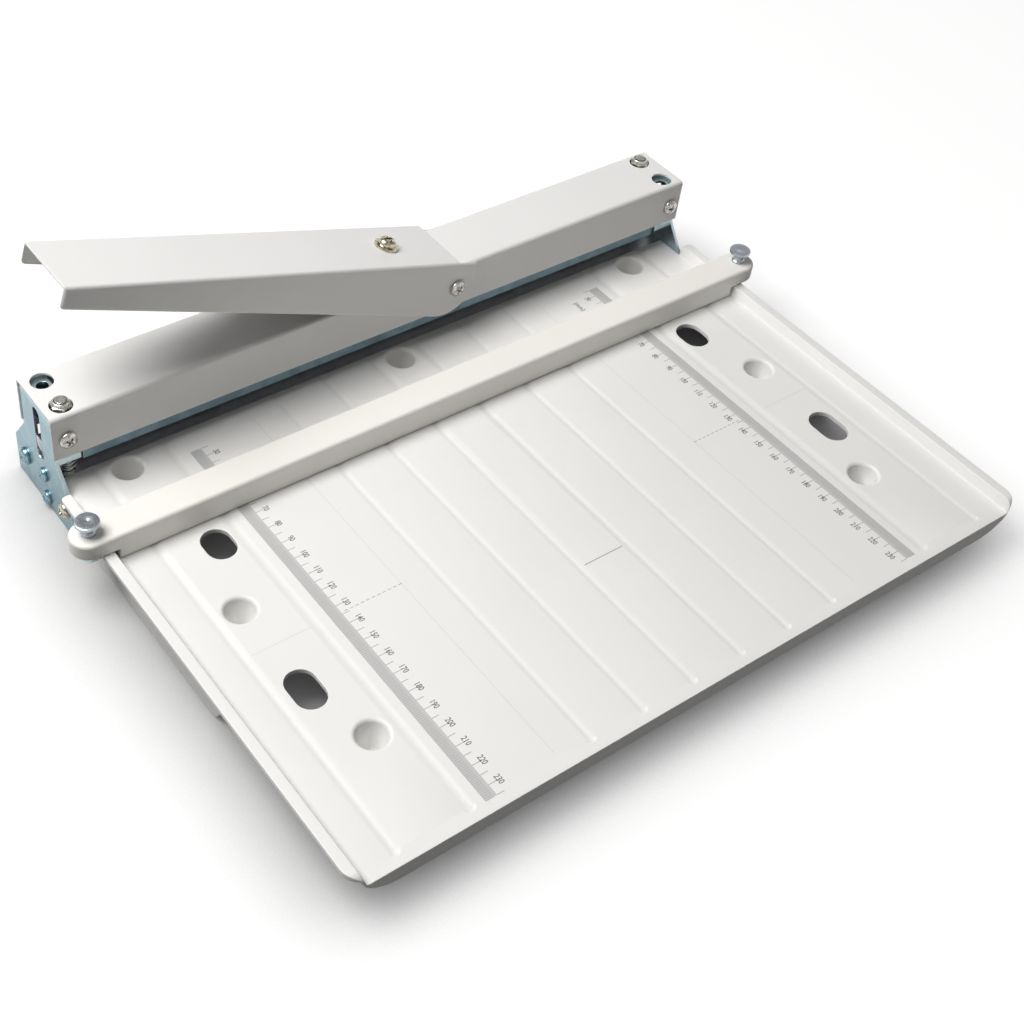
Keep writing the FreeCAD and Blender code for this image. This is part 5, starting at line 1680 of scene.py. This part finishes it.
@dataclass
class PhotoCamera:
    """The camera at the photograph's angle, placed from the crease line and table surface."""

    azimuth: float = -40.1665
    elevation: float = 44.2055
    roll: float = 6.237
    place: tuple[float, float, float] = (-353.24, -469.18, 481.84)
    lens: float = 56.66
    shift: Point = (0.07828, -0.03481)

    def build(self) -> None:
        """Make the camera and give it to the scene."""
        azimuth = math.radians(self.azimuth)
        elevation = math.radians(self.elevation)
        roll = math.radians(self.roll)
        ahead = Vector((
            -math.sin(azimuth) * math.cos(elevation), math.cos(azimuth) * math.cos(elevation),
            -math.sin(elevation)))
        level = Vector((math.cos(azimuth), math.sin(azimuth), 0.0))
        upright = level.cross(ahead)
        right = math.cos(roll) * level + math.sin(roll) * upright
        up = math.cos(roll) * upright - math.sin(roll) * level
        lens = bpy.data.cameras.new("photo_camera")
        lens.sensor_width = 36.0
        lens.lens = self.lens
        lens.shift_x, lens.shift_y = self.shift
        lens.clip_start = 0.01
        lens.clip_end = 20.0
        thing = added("photo_camera", lens)
        turn = Matrix((right, up, -ahead)).transposed().to_4x4()
        thing.matrix_world = Matrix.Translation(on_table(*self.place)) @ turn
        bpy.context.scene.camera = thing


@dataclass
class Studio:
    """The pale floor, the soft lamps, the world and the camera."""

    floor_size: float = 6.0
    floor_grey: float = 0.30
    floor_hidden_grey: float = 0.10
    floor_glow: float = 0.79
    # Reach and strength of the painted contact shade on the floor's glow.
    contact_reach: float = 0.055
    contact_power: float = 1.5
    sky_colour: Colour = (1.0, 0.99, 0.97)
    sky_low: float = 0.0
    sky_high: float = 0.22
    sky_dark_from: float = -0.6
    ceiling: float = 0.55
    horizon: tuple[float, float] = (0.15, 0.6)
    sun_side: tuple[float, float, float] = (-0.40, 0.40, 0.82)
    lit_place: tuple[float, float, float] = (0.0, -100.0, 0.0)
    lamps: Sequence[Lamp] = (
        Lamp("overhead_softbox", (-0.55, 0.30, 1.12), 0.75, 16.8, (1.0, 0.99, 0.98)),
    )

    def build(self) -> None:
        """Set up the studio."""
        scene = bpy.context.scene
        scene.view_settings.view_transform = "Standard"
        self.lay_floor()
        self.light_world()
        target = on_table(*self.lit_place)
        for lamp in self.lamps:
            lamp.build(target)
        PhotoCamera().build()

    @staticmethod
    def seen(graph: NodeTree) -> bpy.types.NodeSocket:
        """Whether a ray comes from the camera, a reflection or a clear material.

        Args:
            graph: The tree that asks.

        Returns:
            1 for such a ray, else 0.
        """
        path = graph.node("ShaderNodeLightPath").outputs
        two = graph.node("ShaderNodeMath", {"operation": "MAXIMUM"}, {
            0: path["Is Camera Ray"], 1: path["Is Glossy Ray"]}).outputs[0]
        return graph.node("ShaderNodeMath", {"operation": "MAXIMUM"}, {
            0: two, 1: path["Is Transmission Ray"]}).outputs[0]

    def lay_floor(self) -> None:
        """Lay a floor that looks white, keeps the soft shadow and has painted shade close under the
        object.
        """
        half = self.floor_size / 2
        shell = bmesh.new()
        corners = [shell.verts.new((x * half, y * half, 0.0)) for x, y in (
            (-1, -1), (1, -1), (1, 1), (-1, 1))]
        shell.faces.new(corners)
        floor = added("studio_floor", mesh_of(shell, "studio_floor"))
        graph = ShaderGraph("studio_floor")
        hidden, diffuse = (
            graph.node("ShaderNodeBsdfDiffuse", {}, {"Color": (grey,) * 3}).outputs[0]
            for grey in (self.floor_hidden_grey, self.floor_grey))
        # Painted shade: the floor's white glow is darkened by ambient occlusion where the object
        # stands close over it.
        open_sky = graph.node("ShaderNodeAmbientOcclusion", {"samples": 8}, {
            "Distance": self.contact_reach}).outputs["AO"]
        painted_contact_shade = Value(graph, open_sky) ** self.contact_power
        glow = graph.node("ShaderNodeEmission", {}, {
            "Color": graph.tints(painted_contact_shade, [(0.0, (0.0,) * 3), (1.0, (1.0,) * 3)]),
            "Strength": self.floor_glow}).outputs[0]
        lit = graph.node("ShaderNodeAddShader", {}, {0: diffuse, 1: glow}).outputs[0]
        mixed = graph.node("ShaderNodeMixShader", {}, {0: self.seen(graph), 1: hidden, 2: lit})
        graph.tree.links.new(mixed.outputs[0], graph.output.inputs["Surface"])
        floor.data.materials.append(graph.material)

    def light_world(self) -> None:
        """Light the room softly, brighter from the rear left, white where it is seen."""
        world = bpy.data.worlds.new("studio_world")
        bpy.context.scene.world = world
        world.use_nodes = True
        world.node_tree.nodes.clear()
        graph = NodeTree(world.node_tree)
        way = graph.node("ShaderNodeTexCoord").outputs["Generated"]
        sun = Vector(self.sun_side).normalized()
        dot = graph.node("ShaderNodeVectorMath", {"operation": "DOT_PRODUCT"}, {0: way, 1: sun})
        level = graph.node("ShaderNodeMapRange", {}, {
            "Value": dot.outputs["Value"], "From Min": self.sky_dark_from, "From Max": 1.0,
            "To Min": self.sky_low, "To Max": self.sky_high})
        sky = graph.node("ShaderNodeBackground", {}, {
            "Color": self.sky_colour, "Strength": level.outputs[0]}).outputs[0]
        height = graph.node("ShaderNodeSeparateXYZ", {}, {0: way}).outputs["Z"]
        low = graph.node("ShaderNodeMapRange", {"interpolation_type": "SMOOTHSTEP"}, {
            "Value": height, "From Min": self.horizon[0], "From Max": self.horizon[1],
            "To Min": 1.0, "To Max": self.ceiling})
        straight = graph.node("ShaderNodeLightPath").outputs["Is Camera Ray"]
        shown = graph.node("ShaderNodeMath", {"operation": "MAXIMUM"}, {
            0: straight, 1: low.outputs["Result"]}).outputs[0]
        white = graph.node("ShaderNodeBackground", {}, {
            "Color": (1.0, 1.0, 1.0), "Strength": shown}).outputs[0]
        mixed = graph.node("ShaderNodeMixShader", {}, {
            0: self.seen(graph), 1: sky, 2: white}).outputs[0]
        graph.node("ShaderNodeOutputWorld", {}, {"Surface": mixed})


def main() -> None:
    """Build every sub-assembly and the studio."""
    fasteners = FastenerTree()
    FeedTable().build(MarkTree())
    for assembly in (PressFrame(), CoverHousing(), PressCarriage(), HandLever()):
        assembly.build(fasteners)
    PaperStop().build()
    Studio().build()


if __name__ == "__main__":
    logging.basicConfig(level=logging.INFO, format="%(message)s")
    main()
